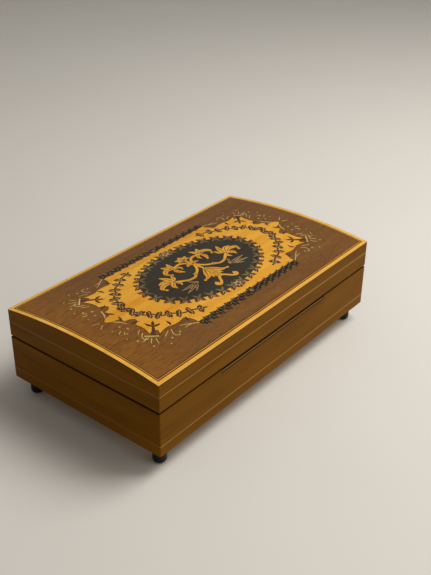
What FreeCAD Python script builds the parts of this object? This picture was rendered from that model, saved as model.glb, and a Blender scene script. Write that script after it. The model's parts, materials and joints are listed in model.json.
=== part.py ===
import FreeCAD, Part
import math
import os
import re
import Sketcher

# Wind up music box: an inlaid wooden jewellery case with a hinged, gently arched lid and a
# pinned-cylinder movement beside the lined compartment. Millimetres. X runs along the
# front, -Y is the front, Z is up and the feet stand on z = 0.

dims = {
    # case and lid
    "box_length": 250,
    "box_width": 140,
    "foot_height": 14.5,
    "case_height": 34.2,
    "lid_height": 21.8,  # from the seam to the lid's long top edges
    "arch_rise": 5.2,  # how far the middle of the lid stands over those edges
    "wall": 7,
    "corner_round": 0.8,
    "seam_gap": 0.3,
    "seam_chamfer": 0.9,
    "base_thickness": 4,
    "base_rebate": 3,
    "base_clear": 0.1,
    "foot_radius": 4.9,
    "foot_inset": 10.3,
    "foot_edge": 2.2,
    "foot_screw_radius": 1.3,
    "foot_screw_depth": 8,
    "string_width": 0.85,
    "string_depth": 0.6,
    "case_string_rise": 7.9,
    "lid_string_drop": 9.3,
    "recess_length": 126,
    "recess_height": 1.9,
    "recess_depth": 2,
    # lid top
    "veneer": 0.8,
    "panel_thickness": 3.2,
    "panel_lap": 3.5,
    "band_width": 3.4,
    "dark_line": 0.5,
    "light_line": 0.5,
    "medallion_long": 56,
    "medallion_short": 35,
    "cartouche_end": 100,
    "cartouche_side": 45,
    "lid_lining": 0.8,
    # hinges
    "hinge_length": 24,
    "hinge_spacing": 150,
    "leaf_width": 5.6,
    "leaf_thickness": 0.8,
    "knuckle_radius": 1.7,
    "knuckle_gap": 0.15,
    "hinge_stand": 0.4,
    "pin_radius": 0.8,
    "pin_clear": 0.04,
    "relief_clear": 0.2,
    "hinge_screw_radius": 0.7,
    "hinge_screw_head": 1.3,
    "hinge_screw_length": 6,
    # inside of the case
    "bay_length": 62,
    "partition": 5,
    "cover_thickness": 2,
    "cover_drop": 0.3,
    "cover_clear": 0.3,
    "ledge_width": 3,
    "ledge_height": 5,
    "felt": 1,
    "felt_drop": 2.5,
    "cover_screw_radius": 0.8,
    "cover_screw_depth": 4,
    "cover_screw_inset": 6,
    # movement
    "barrel_margin": 17,
    "bed_length": 57,
    "bed_width": 56,
    "bed_left": 14,
    "bed_thickness": 4,
    "bed_bolt_left": 9,
    "bed_bolt_reach": 21,
    "bed_bolt_right": 37,
    "bed_bolt_front": 15,
    "bed_bolt_clear": 0.2,
    "axis_drop": 10.9,  # from the cover's underside to the cylinder's axis
    "crown_module": 0.6,
    "crown_teeth": 36,
    "crown_face": 1.2,
    "crown_pinion_teeth": 12,
    "mesh_play": 0.3,
    "barrel_wall": 1.3,
    "barrel_lift": 0.6,
    "arbor_radius": 2,
    "running_clear": 0.05,
    "spring_strip": 0.35,
    "spring_pitch": 0.85,
    "drum_radius": 6.5,
    "drum_length": 19.5,
    "drum_start": 13.6,
    "music_pin_radius": 0.22,
    "music_pin_height": 0.45,
    "comb_pitch": 1.05,
    "comb_notes": 18,
    "comb_gap": 0.2,
    "comb_reach": 13,
    "comb_base": 8.5,
    "comb_thickness": 2,
    "comb_bolt_radius": 1,
    "comb_bolt_depth": 4.5,
    "comb_bolt_clear": 0.1,
    "comb_slit": 0.3,
    "comb_tooth": 0.6,
    "shaft_radius": 1,
    "train_module": 0.4,
    "train_play": 0.12,
    "great_teeth": 40,
    "pinion_teeth": 10,
    "second_teeth": 30,
    "spindle_radius": 0.6,
    "worm_module": 0.5,
    "worm_teeth": 16,
    "worm_pitch_radius": 1.3,
    "worm_play": 0.3,
    "wheel_thickness": 1,
    "wheel_clear": 0.4,
    "plate_thickness": 0.8,
    "plate_edge": 3,
    "plate_side": 2.5,
    "plate_foot": 4,
    "plate_foot_height": 1,
    "bracket_half": 5,
    "fan_radius": 4.6,
    "fan_height": 3,
    "brake_radius": 2.8,
    "brake_gap": 0.3,
    "stop_rod_radius": 0.75,
    "stop_rod_gap": 0.3,
    "stop_rod_reach": 6.2,
    "stop_wire": 0.55,
    # winding key
    "key_span": 7,
    "key_lobe": 4.2,
    "key_thickness": 1.8,
    "key_floor_gap": 2.2,
    "key_hub": 3,
    "clutch_wire": 0.6,
    "escutcheon_bore": 5,
}

doc = FreeCAD.newDocument("music_box")
sheet = doc.addObject("Spreadsheet::Sheet", "Dims")
for row, (name, value) in enumerate(dims.items(), 1):
    sheet.set("A%d" % row, name)
    sheet.set("B%d" % row, str(value))
    sheet.setAlias("B%d" % row, name)
doc.recompute()
size = {name: float(sheet.get(name)) for name in dims}
vector = FreeCAD.Vector
nodes = []


def ex(text):
    """The expression with every driving size read from the sheet."""
    return re.sub(r"[a-z]\w*", lambda hit: "Dims." + hit[0] if hit[0] in dims else hit[0], text)


def bind(item, **sizes):
    for prop, text in sizes.items():
        item.setExpression(prop, ex(text))
    return item


def place(item, x="0", y="0", z="0", axis=(0, 0, 1), turn=0):
    item.Placement = FreeCAD.Placement(vector(), FreeCAD.Rotation(vector(*axis), turn))
    for letter, text in zip("xyz", (x, y, z)):
        item.setExpression("Placement.Base." + letter, ex(text))
    return item


def keep(item, label):
    item.Label = label
    nodes.append(item)
    return item


def block(name, length, width, height, corner):
    item = doc.addObject("Part::Box", name)
    bind(item, Length=length, Width=width, Height=height)
    return place(item, *corner)


def rod(name, radius, length, start, along="z"):
    item = doc.addObject("Part::Cylinder", name)
    bind(item, Radius=radius, Height=length)
    turn = {"x": ((0, 1, 0), 90), "y": ((1, 0, 0), -90), "z": ((0, 0, 1), 0)}[along]
    return place(item, *start, axis=turn[0], turn=turn[1])


def fuse(name, items):
    item = doc.addObject("Part::MultiFuse", name)
    item.Shapes = items
    return item


def cut(name, base, tools):
    item = doc.addObject("Part::Cut", name)
    item.Base = base
    item.Tool = tools[0] if len(tools) == 1 else fuse(name + "_tools", tools)
    return item


def common(name, base, tool):
    item = doc.addObject("Part::Common", name)
    item.Base = base
    item.Tool = tool
    return item


def group(name, items):
    item = doc.addObject("Part::Compound", name)
    item.Links = items
    return item


def outline(body, plane, loops):
    """A sketch on one of the body's own planes, each corner held by two expressions."""
    sketch = body.newObject("Sketcher::SketchObject", body.Name + "_sketch")
    origin = [f for f in body.Origin.OriginFeatures if f.Role == plane][0]
    sketch.AttachmentSupport = (origin, [""])
    sketch.MapMode = "FlatFace"
    bound = []
    for corners in loops:
        first = sketch.GeometryCount
        count = len(corners)
        spots = [vector(math.cos(2 * math.pi * k / count), math.sin(2 * math.pi * k / count), 0)
                 for k in range(count)]
        for k in range(count):
            sketch.addGeometry(Part.LineSegment(spots[k], spots[(k + 1) % count]), False)
        for k in range(count):
            after = first + (k + 1) % count
            sketch.addConstraint(Sketcher.Constraint("Coincident", first + k, 2, after, 1))
        for k, (across, up) in enumerate(corners):
            for kind, text, now in (("DistanceX", across, spots[k].x), ("DistanceY", up, spots[k].y)):
                index = sketch.addConstraint(Sketcher.Constraint(kind, -1, 1, first + k, 1, now))
                bound.append((index, text))
    for index, text in bound:
        sketch.setExpression("Constraints[%d]" % index, ex(text))
    return sketch


def padded(name, plane, loops, length, middle=True):
    body = doc.addObject("PartDesign::Body", name)
    pad = body.newObject("PartDesign::Pad", name + "_pad")
    pad.Profile = outline(body, plane, loops)
    pad.SideType = "Symmetric" if middle else "One side"
    bind(pad, Length=length)
    return body


def turned(name, profile):
    body = doc.addObject("PartDesign::Body", name)
    spin = body.newObject("PartDesign::Revolution", name + "_turn")
    sketch = outline(body, "XZ_Plane", [profile])
    spin.Profile = sketch
    spin.ReferenceAxis = (sketch, ["V_Axis"])
    spin.Angle = 360
    return body


def made(name, shape, spot=(0, 0, 0)):
    item = doc.addObject("Part::Feature", name)
    item.Shape = shape
    item.Placement = FreeCAD.Placement(vector(*spot), FreeCAD.Rotation()).multiply(shape.Placement)
    return item


rim = "(foot_height + case_height)"
lid_low = "(foot_height + case_height + seam_gap)"
lid_edge = "(foot_height + case_height + lid_height)"
floor = "(foot_height + base_thickness)"
arch = "(((box_width / 2) ^ 2 + arch_rise ^ 2) / (2 * arch_rise))"
arch_axis = "(%s + arch_rise - %s)" % (lid_edge, arch)
inner_x = "(box_length / 2 - wall)"
inner_y = "(box_width / 2 - wall)"


def mitred(name, section, length, along):
    """A bar of the given section (inward, up) whose ends meet its neighbours at 45 degrees."""
    bar = padded(name, "YZ_Plane", [section], length)
    trim = bar.newObject("PartDesign::Pocket", name + "_mitres")
    ends = []
    for sign in ("", "-"):
        tip = "(%s / 2 + 2)" % length
        heel = "(%s / 2 - wall - 2)" % length
        ends.append([(sign + tip, "-2"), (sign + tip, "wall + 2"), (sign + heel, "wall + 2")])
    trim.Profile = outline(bar, "XY_Plane", ends)
    trim.SideType = "Symmetric"
    bind(trim, Length="4 * " + lid_edge)
    spot = {
        "front": ("0", "-box_width / 2", 0),
        "right": ("box_length / 2", "0", 90),
        "back": ("0", "box_width / 2", 180),
        "left": ("-box_length / 2", "0", 270),
    }[along]
    return place(bar, spot[0], spot[1], turn=spot[2])


def arch_rod(name, drop):
    """A solid under the lid's arch, the given depth below its outer face."""
    return rod(name, "%s - %s" % (arch, drop), "box_length + 20",
               ("-box_length / 2 - 10", "0", arch_axis), "x")


def shell(name, upper, lower):
    return cut(name, arch_rod(name + "_upper", upper), [arch_rod(name + "_lower", lower)])


sides = {"front": "box_length", "back": "box_length", "left": "box_width", "right": "box_width"}


def upright(name, low, high):
    """The box's outline in plan with rounded corners."""
    raw = block(name + "_raw", "box_length", "box_width", "%s - %s" % (high, low),
                ("-box_length / 2", "-box_width / 2", low))
    doc.recompute()
    edges = [i for i, edge in enumerate(raw.Shape.Edges, 1)
             if abs(edge.tangentAt(edge.FirstParameter).z) > 0.9]
    item = doc.addObject("Part::Fillet", name)
    item.Base = raw
    item.Edges = [(i, size["corner_round"], size["corner_round"]) for i in edges]
    return item


# Hinges: axis just behind the back face, knuckles let into wall and rail
hinge_y = "(box_width / 2 + hinge_stand)"
hinge_z = "(%s + seam_gap / 2)" % rim
leaf_y = "(box_width / 2 - leaf_width)"
screw_y = "(box_width / 2 - leaf_width / 2)"
hinge_x = {"left": "(-hinge_spacing / 2)", "right": "(hinge_spacing / 2)"}
third = "(hinge_length / 3)"


def knuckles(x, upper):
    """Start and length of each knuckle of one leaf along the hinge."""
    if upper:
        return [("%s - %s / 2 + knuckle_gap" % (x, third), "%s - 2 * knuckle_gap" % third)]
    return [("%s - hinge_length / 2" % x, third), ("%s + %s / 2" % (x, third), third)]


def screw_spots(x):
    return ["%s - %s" % (x, third), "%s + %s" % (x, third)]


def hinge_screw(name, x, upper):
    side = "1" if upper else "-1"
    profile = [
        ("0", "0"),
        ("hinge_screw_head", "0"),
        ("hinge_screw_radius", side + " * (hinge_screw_head - hinge_screw_radius)"),
        ("hinge_screw_radius", side + " * hinge_screw_length"),
        ("0", side + " * (hinge_screw_length + hinge_screw_radius)"),
    ]
    return place(turned(name, profile), x, screw_y, lid_low if upper else rim)


def leaf(which, upper):
    x = hinge_x[which]
    name = "hinge_%s_leaf_%s" % ("upper" if upper else "lower", which)
    low = lid_low if upper else "(%s - leaf_thickness)" % rim
    parts = [block(name + "_plate", "hinge_length",
                   "leaf_width + hinge_stand - knuckle_radius - relief_clear", "leaf_thickness",
                   (x + " - hinge_length / 2", leaf_y, low))]
    for k, (start, length) in enumerate(knuckles(x, upper)):
        parts.append(block("%s_tab%d" % (name, k), length, "leaf_width + hinge_stand",
                           "leaf_thickness", (start, leaf_y, low)))
        parts.append(rod("%s_barrel%d" % (name, k), "knuckle_radius", length,
                         (start, hinge_y, hinge_z), "x"))
    bore = rod(name + "_bore", "pin_radius + pin_clear" if upper else "pin_radius",
               "hinge_length + 2", (x + " - hinge_length / 2 - 1", hinge_y, hinge_z), "x")
    holes = [hinge_screw("%s_sink%d" % (name, k), spot, upper)
             for k, spot in enumerate(screw_spots(x))]
    return cut(name, fuse(name + "_blank", parts), [bore] + holes)


def hinge_cuts(name, upper):
    """Mortise, knuckle relief and screw holes for both hinges in one rail."""
    tools = []
    for which, x in hinge_x.items():
        low = "(%s - 1)" % lid_low if upper else "(%s - leaf_thickness)" % rim
        tools.append(block("%s_mortise_%s" % (name, which), "hinge_length", "leaf_width + 5",
                           "leaf_thickness + 1", (x + " - hinge_length / 2", leaf_y, low)))
        tools.append(rod("%s_relief_%s" % (name, which), "knuckle_radius + relief_clear",
                         "hinge_length + 2 * relief_clear",
                         (x + " - hinge_length / 2 - relief_clear", hinge_y, hinge_z), "x"))
        tools += [hinge_screw("%s_hole_%s%d" % (name, which, k), spot, upper)
                  for k, spot in enumerate(screw_spots(x))]
    return tools


keep(group("hinge_lower_leaves", [leaf(which, False) for which in hinge_x]), "hinge_lower_leaves")
keep(group("hinge_upper_leaves", [leaf(which, True) for which in hinge_x]), "hinge_upper_leaves")
pins = [rod("hinge_pin_" + which, "pin_radius", "hinge_length",
            (x + " - hinge_length / 2", hinge_y, hinge_z), "x") for which, x in hinge_x.items()]
keep(group("hinge_pins", pins), "hinge_pins")
for upper, label in ((False, "hinge_case_screws"), (True, "hinge_lid_screws")):
    screws = [hinge_screw("%s_%s%d" % (label, which, k), spot, upper)
              for which in hinge_x for k, spot in enumerate(screw_spots(hinge_x[which]))]
    keep(group(label, screws), label)


# Case walls: mitred boards with a base rebate, a stringing groove and a chamfered rim; the
# front one has a long finger recess in its rim
string_low = "(foot_height + case_string_rise - string_width / 2)"
case_section = [
    ("0", "foot_height"), ("0", string_low), ("string_depth", string_low),
    ("string_depth", string_low + " + string_width"), ("0", string_low + " + string_width"),
    ("0", rim + " - seam_chamfer"), ("seam_chamfer", rim), ("wall", rim), ("wall", floor),
    ("wall - base_rebate", floor), ("wall - base_rebate", "foot_height"),
]
case_plan = upright("case_plan", "foot_height", rim)
for side, length in sides.items():
    wall_piece = common(side + "_wall_round", mitred(side + "_board", case_section, length, side),
                        case_plan)
    if side == "front":
        recess = block("finger_recess", "recess_length", "recess_depth + 1", "recess_height + 1",
                       ("-recess_length / 2", "-box_width / 2 - 1", rim + " - recess_height"))
        wall_piece = cut("front_wall_recessed", wall_piece, [recess])
    if side == "back":
        wall_piece = cut("back_wall_let_in", wall_piece, hinge_cuts("back_wall", False))
    keep(wall_piece, side + "_wall")


def stringing(label, low, plan):
    section = [("0", low), ("string_depth", low), ("string_depth", low + " + string_width"),
               ("0", low + " + string_width")]
    strips = [common("%s_%s" % (label, side), mitred("%s_strip_%s" % (label, side), section,
                                                     length, side), plan)
              for side, length in sides.items()]
    return keep(group(label, strips), label)


stringing("case_stringing", string_low, case_plan)

# Base board in the walls' rebates, feet screwed on from inside
bed_x = "(%s - bay_length + barrel_margin)" % inner_x
foot_spots = {
    "front_left": ("-box_length / 2 + foot_inset", "-box_width / 2 + foot_inset"),
    "front_right": ("box_length / 2 - foot_inset", "-box_width / 2 + foot_inset"),
    "back_left": ("-box_length / 2 + foot_inset", "box_width / 2 - foot_inset"),
    "back_right": ("box_length / 2 - foot_inset", "box_width / 2 - foot_inset"),
}
head = "2 * foot_screw_radius"
head_height = "foot_screw_radius"
bed_spots = [("-bed_bolt_left", "bed_bolt_reach"), ("-bed_bolt_left", "-bed_bolt_reach"),
             ("bed_bolt_right", "-bed_bolt_front")]
base_tools = [rod("base_key_hole", "escutcheon_bore + 1", "base_thickness + 2",
                  (bed_x, "0", "foot_height - 1"))]
for place_name, (x, y) in foot_spots.items():
    base_tools.append(rod("base_foot_hole_" + place_name, "foot_screw_radius", "base_thickness + 2",
                          (x, y, "foot_height - 1")))
    base_tools.append(rod("base_foot_sink_" + place_name, head, head_height + " + 1",
                          (x, y, floor + " - " + head_height)))
for k, (x, y) in enumerate(bed_spots):
    base_tools.append(rod("base_bed_hole%d" % k, "foot_screw_radius + bed_bolt_clear", "base_thickness + 2",
                          ("%s + (%s)" % (bed_x, x), y, "foot_height - 1")))
board = block("base_board_blank", "2 * (%s + base_rebate - base_clear)" % inner_x,
              "2 * (%s + base_rebate - base_clear)" % inner_y, "base_thickness",
              ("-%s - base_rebate + base_clear" % inner_x,
               "-%s - base_rebate + base_clear" % inner_y, "foot_height"))
keep(cut("base_board", board, base_tools), "base_board")

foot_profile = [
    ("0", "0"), ("foot_radius - foot_edge", "0"), ("foot_radius - 0.3 * foot_edge", "0.3 * foot_edge"),
    ("foot_radius", "foot_edge"), ("foot_radius", "foot_height"),
    ("foot_screw_radius", "foot_height"), ("foot_screw_radius", "foot_height - foot_screw_depth"),
    ("0", "foot_height - foot_screw_depth"),
]
keep(group("feet", [place(turned("foot_" + place_name, foot_profile), x, y)
                    for place_name, (x, y) in foot_spots.items()]), "feet")
foot_screw = [
    ("0", "foot_height - foot_screw_depth + 0.5"),
    ("foot_screw_radius", "foot_height - foot_screw_depth + 0.5 + foot_screw_radius"),
    ("foot_screw_radius", floor + " - " + head_height), (head, floor + " - " + head_height),
    (head, floor), ("0", floor),
]
keep(group("foot_screws", [place(turned("foot_screw_" + place_name, foot_screw), x, y)
                           for place_name, (x, y) in foot_spots.items()]), "foot_screws")

# Lid frame: mitred rails cut to the arch, with a rebate for the curved panel
lid_string_low = "(%s - lid_string_drop - string_width / 2)" % lid_edge
lid_section = [
    ("0", lid_low + " + seam_chamfer"), ("0", lid_string_low), ("string_depth", lid_string_low),
    ("string_depth", lid_string_low + " + string_width"), ("0", lid_string_low + " + string_width"),
    ("0", lid_edge + " + arch_rise + 1"), ("wall", lid_edge + " + arch_rise + 1"),
    ("wall", lid_low), ("seam_chamfer", lid_low),
]
lid_plan = upright("lid_plan", lid_low, "(%s + arch_rise + 2)" % lid_edge)
lid_body = common("lid_body", lid_plan, arch_rod("lid_arch", "veneer"))
panel = common(
    "lid_panel",
    block("lid_panel_plan", "2 * (%s + panel_lap)" % inner_x, "2 * (%s + panel_lap)" % inner_y,
          "2 * (lid_height + arch_rise)", ("-%s - panel_lap" % inner_x, "-%s - panel_lap" % inner_y,
                                           lid_edge + " - lid_height")),
    shell("lid_panel_shell", "veneer", "(veneer + panel_thickness)"))
for side, length in sides.items():
    tools = [panel]
    if side == "back":
        tools += hinge_cuts("lid_back", True)
    rail = common("lid_%s_round" % side, mitred("lid_%s_board" % side, lid_section, length, side),
                  lid_body)
    label = "lid_%s_%s" % (side, "rail" if length == "box_length" else "end")
    keep(cut(label, rail, tools), label)
keep(panel, "lid_panel")
stringing("lid_stringing", lid_string_low, lid_plan)
keep(common("lid_lining",
            block("lid_lining_plan", "2 * %s" % inner_x, "2 * %s" % inner_y,
                  "2 * (lid_height + arch_rise)",
                  ("-" + inner_x, "-" + inner_y, lid_edge + " - lid_height")),
            shell("lid_lining_shell", "(veneer + panel_thickness)",
                  "(veneer + panel_thickness + lid_lining)")), "lid_lining")

# Lid top: banding, a dark and a light line, then the marquetry, all one veneer thick
skin = common("lid_skin", lid_plan, shell("lid_veneer_shell", "0", "veneer"))


def frame_strip(label, outer, inner):
    """Four mitred strips between two distances in from the lid's edges."""
    strips = []
    low = lid_edge + " - 2 * veneer"
    for side in sides:
        long_side = side in ("front", "back")
        reach = "box_length / 2" if long_side else "box_width / 2"
        off = "box_width / 2" if long_side else "box_length / 2"
        sign = "-" if side in ("front", "left") else ""
        corners = [("-(%s - %s)" % (reach, outer), "%s(%s - %s)" % (sign, off, outer)),
                   ("(%s - %s)" % (reach, outer), "%s(%s - %s)" % (sign, off, outer)),
                   ("(%s - %s)" % (reach, inner), "%s(%s - %s)" % (sign, off, inner)),
                   ("-(%s - %s)" % (reach, inner), "%s(%s - %s)" % (sign, off, inner))]
        if not long_side:
            corners = [(y, x) for x, y in corners]
        bar = padded("%s_bar_%s" % (label, side), "XY_Plane", [corners], "arch_rise + 4 * veneer", False)
        strips.append(common("%s_%s" % (label, side), place(bar, z=low), skin))
    return keep(group(label, strips), label)


frame_strip("lid_banding", "0", "band_width")
frame_strip("lid_dark_line", "band_width", "(band_width + dark_line)")
frame_strip("lid_light_line", "(band_width + dark_line)", "(band_width + dark_line + light_line)")


def cartouche_wire():
    """Scalloped outline: straight long sides, stepped shoulders, forked corners, pointed ends."""
    end = size["cartouche_end"]
    side = size["cartouche_side"]
    # corners and bulge points in turn, as shares of the half length and half width
    quarter = [(0.57, 1), (0.6, 0.9), (0.62, 0.833), (0.66, 0.773), (0.7, 0.756), (0.79, 0.833),
               (0.875, 0.8), (0.835, 0.7), (0.81, 0.611), (0.86, 0.667), (0.91, 0.689), (0.895, 0.533),
               (0.855, 0.378), (0.842, 0.2), (0.855, 0.089), (0.93, 0.071)]
    half = quarter + [(1, 0)] + [(x, -y) for x, y in reversed(quarter)]
    edges = []
    for turn in (1, -1):
        points = [vector(turn * x * end, turn * y * side, 0) for x, y in half]
        for k in range(0, len(points) - 1, 2):
            edges.append(Part.Arc(points[k], points[k + 1], points[k + 2]).toShape())
        edges.append(Part.LineSegment(points[-1], -points[0]).toShape())
    return Part.Wire(edges)


def prism(name, wire):
    low = size["foot_height"] + size["case_height"] + size["lid_height"] - 2 * size["veneer"]
    height = size["arch_rise"] + 4 * size["veneer"]
    return made(name, Part.Face(wire).extrude(vector(0, 0, height)), (0, 0, low))


oval = Part.Ellipse(vector(), size["medallion_long"], size["medallion_short"])
oval_prism = prism("medallion_prism", Part.Wire([oval.toShape()]))
cartouche_prism = prism("cartouche_prism", cartouche_wire())
inset = "(band_width + dark_line + light_line)"
field = block("lid_field_plan", "box_length - 2 * " + inset, "box_width - 2 * " + inset,
              "arch_rise + 4 * veneer", ("-box_length / 2 + " + inset, "-box_width / 2 + " + inset,
                                         lid_edge + " - 2 * veneer"))
keep(common("lid_veneer", cut("lid_field_open", field, [cartouche_prism]), skin), "lid_veneer")
keep(common("lid_cartouche", cut("cartouche_open", cartouche_prism, [oval_prism]), skin), "lid_cartouche")
keep(common("lid_medallion", oval_prism, skin), "lid_medallion")

# Inside of the case: partition, ledges and clear cover over the movement bay, felt lining
bay_low = "(%s - bay_length)" % inner_x
cover_low = "(%s - cover_drop - cover_thickness)" % rim
partition = block("partition_board", "partition", "2 * " + inner_y, "%s - %s" % (cover_low, floor),
                  (bay_low + " - partition", "-" + inner_y, floor))
ledge_low = cover_low + " - ledge_height"
ledges = [
    block("ledge_right", "ledge_width", "2 * " + inner_y, "ledge_height",
          (inner_x + " - ledge_width", "-" + inner_y, ledge_low)),
    block("ledge_front", "bay_length - ledge_width", "ledge_width", "ledge_height",
          (bay_low, "-" + inner_y, ledge_low)),
    block("ledge_back", "bay_length - ledge_width", "ledge_width", "ledge_height",
          (bay_low, inner_y + " - ledge_width", ledge_low)),
]
worm_angle = math.radians(40)
second_angle = math.radians(-30)
axis_z = (size["case_height"] - size["cover_drop"] - size["cover_thickness"] - size["base_thickness"]
          - size["axis_drop"])
great_reach = 0.5 * size["train_module"] * (size["great_teeth"] + size["pinion_teeth"]) + 0.08
second_reach = 0.5 * size["train_module"] * (size["second_teeth"] + size["pinion_teeth"]) + 0.08
worm_wheel_radius = 0.5 * size["worm_module"] * size["worm_teeth"]
second_spot = (great_reach * math.cos(second_angle), axis_z + great_reach * math.sin(second_angle))
third_spot = (second_spot[0] + second_reach * math.cos(worm_angle),
              second_spot[1] + second_reach * math.sin(worm_angle))
worm_y = third_spot[0] + worm_wheel_radius + size["worm_pitch_radius"] + 0.06
drum_end = size["drum_start"] + size["drum_length"]
great_x = drum_end + 0.5
worm_x = great_x + 0.7
rod_x = worm_x + size["stop_rod_reach"]
origin = (
    size["box_length"] / 2 - size["wall"] - size["bay_length"] + size["barrel_margin"],
    0,
    size["foot_height"] + size["base_thickness"],
)
cover_top = size["foot_height"] + size["case_height"] - size["cover_drop"]
bush_radius = 2 * size["stop_rod_radius"]
bush_spot = vector(origin[0] + rod_x, worm_y, 0)


def ring(outer, inner, low, high):
    """A tube on the Z axis."""
    tube = Part.makeCylinder(outer, high - low, vector(0, 0, low))
    return tube.cut(Part.makeCylinder(inner, high - low + 2, vector(0, 0, low - 1)))


cover_hole = made("cover_hole", Part.makeCylinder(bush_radius, size["cover_thickness"] + 2,
                                                  vector(0, 0, cover_top - size["cover_thickness"] - 1)),
                  tuple(bush_spot))
cover_screw_spots = [("%s - partition / 2" % bay_low, "(%s - cover_screw_inset)" % inner_y),
                     ("%s - partition / 2" % bay_low, "-(%s - cover_screw_inset)" % inner_y),
                     ("%s - ledge_width / 2" % inner_x, "(%s - cover_screw_inset)" % inner_y),
                     ("%s - ledge_width / 2" % inner_x, "-(%s - cover_screw_inset)" % inner_y)]
cover_screw = [
    ("0", cover_low + " - cover_screw_depth"),
    ("cover_screw_radius", cover_low + " - cover_screw_depth + cover_screw_radius"),
    ("cover_screw_radius", cover_low + " + cover_thickness"),
    ("1.9 * cover_screw_radius", cover_low + " + cover_thickness"),
    ("1.3 * cover_screw_radius", cover_low + " + cover_thickness + cover_screw_radius"),
    ("0", cover_low + " + cover_thickness + cover_screw_radius"),
]


def cover_screws(name, first, count=2):
    return [place(turned("%s%d" % (name, k), cover_screw), x, y)
            for k, (x, y) in enumerate(cover_screw_spots[first:first + count])]


keep(group("cover_screws", cover_screws("cover_screw", 0, 4)), "cover_screws")
cover = block("movement_cover_blank", "bay_length + partition - cover_clear",
              "2 * (%s - cover_clear)" % inner_y, "cover_thickness",
              (bay_low + " - partition", "-%s + cover_clear" % inner_y, cover_low))
keep(cut("movement_cover", cover, [cover_hole] + cover_screws("cover_screw_hole", 0, 4)), "movement_cover")
keep(cut("partition", partition, cover_screws("partition_hole", 0)), "partition")
ledge_right = cut("ledge_right_drilled", ledges[0], cover_screws("ledge_hole", 2))
keep(group("cover_ledges", [ledge_right] + ledges[1:]), "cover_ledges")

felt_x = "(%s - partition)" % bay_low
keep(block("floor_lining", "%s + %s" % (felt_x, inner_x), "2 * " + inner_y, "felt",
           ("-" + inner_x, "-" + inner_y, floor)), "floor_lining")
felt_low = floor + " + felt"
felt_height = "case_height - base_thickness - felt - felt_drop"
side_height = "%s - %s - felt" % (cover_low, floor)
felts = [
    block("felt_front", "%s + %s" % (felt_x, inner_x), "felt", felt_height,
          ("-" + inner_x, "-" + inner_y, felt_low)),
    block("felt_back", "%s + %s" % (felt_x, inner_x), "felt", felt_height,
          ("-" + inner_x, inner_y + " - felt", felt_low)),
    block("felt_left", "felt", "2 * (%s - felt)" % inner_y, felt_height,
          ("-" + inner_x, "-%s + felt" % inner_y, felt_low)),
    block("felt_right", "felt", "2 * (%s - felt)" % inner_y, side_height,
          (felt_x + " - felt", "-%s + felt" % inner_y, felt_low)),
]
keep(group("wall_lining", felts), "wall_lining")


# Movement, in its own frame: barrel axis at the origin, bedplate on z = 0, cylinder along X
def seat(name, shape):
    return keep(made(name, shape, origin), name)


def drum_along(radius, low, high, y=0, z=0):
    return Part.makeCylinder(radius, high - low, vector(low, y, z), vector(1, 0, 0))


def slab(low, high):
    return Part.makeBox(high[0] - low[0], high[1] - low[1], high[2] - low[2], vector(*low))


def polar(radius, angle):
    return vector(0, radius * math.cos(angle), radius * math.sin(angle))


def gear(teeth, module, thickness, play, turn=0, add=0.85, sink=1.15):
    """A spur wheel about X from x = 0; one arc stands for each involute flank."""
    pitch = 0.5 * module * teeth
    tip = pitch + add * module
    root = pitch - sink * module
    pressure = math.radians(25)
    base = pitch * math.cos(pressure)
    half = math.pi / (2 * teeth) - 0.5 * play / pitch + math.tan(pressure) - pressure

    def flank(radius):
        lean = math.acos(min(1, base / radius))
        return half - (math.tan(lean) - lean)

    start = max(base, root)
    radii = (start, 0.5 * (start + tip), tip)
    edges = []
    for k in range(int(teeth)):
        centre = turn + 2 * math.pi * k / teeth
        rise = [polar(r, centre - flank(r)) for r in radii]
        fall = [polar(r, centre + flank(r)) for r in reversed(radii)]
        foot_up = polar(root, centre - flank(start))
        foot_down = polar(root, centre + flank(start))
        following = centre + 2 * math.pi / teeth - flank(start)
        if root < base - 1e-6:
            edges.append(Part.LineSegment(foot_up, rise[0]).toShape())
        edges.append(Part.Arc(*rise).toShape())
        edges.append(Part.Arc(rise[2], polar(tip, centre), fall[0]).toShape())
        edges.append(Part.Arc(*fall).toShape())
        if root < base - 1e-6:
            edges.append(Part.LineSegment(fall[2], foot_down).toShape())
        middle = 0.5 * (centre + flank(start) + following)
        edges.append(Part.Arc(foot_down, polar(root, middle), polar(root, following)).toShape())
    return Part.Face(Part.Wire(edges)).extrude(vector(thickness, 0, 0))


def coil(radius, pitch, turns, wire, low):
    """A round wire wound on Z, one unbroken tube."""
    path = Part.makeHelix(pitch, pitch * turns, radius)
    section = Part.Wire([Part.Circle(vector(radius, 0, 0), vector(0, 1, 0), wire / 2).toShape()])
    tube = Part.Wire(path).makePipeShell([section], True, True)
    tube.translate(vector(0, 0, low))
    return tube


bed = size["bed_thickness"]
comb_low = axis_z - 0.4 * size["comb_thickness"]
comb_tip = -(size["drum_radius"] + size["music_pin_height"] + size["comb_gap"])
comb_root = comb_tip - size["comb_reach"]
comb_back = comb_root - size["comb_base"]
comb_start = size["drum_start"] + 0.5 * (size["drum_length"]
                                         - size["comb_pitch"] * size["comb_notes"])
comb_end = comb_start + size["comb_pitch"] * size["comb_notes"]
comb_bolts = [(comb_start + 0.25 * (comb_end - comb_start), 0.5 * (comb_root + comb_back)),
              (comb_start + 0.75 * (comb_end - comb_start), 0.5 * (comb_root + comb_back))]
bed_bolts = [(-size["bed_bolt_left"], size["bed_bolt_reach"]),
             (-size["bed_bolt_left"], -size["bed_bolt_reach"]),
             (size["bed_bolt_right"], -size["bed_bolt_front"])]
plate_x = great_x + 5
guide_top = bed + 1
brake_top = bed + 5
brake_low = brake_top - 0.8
foot_low = brake_top + size["brake_gap"]
screw_radius = size["foot_screw_radius"]

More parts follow.
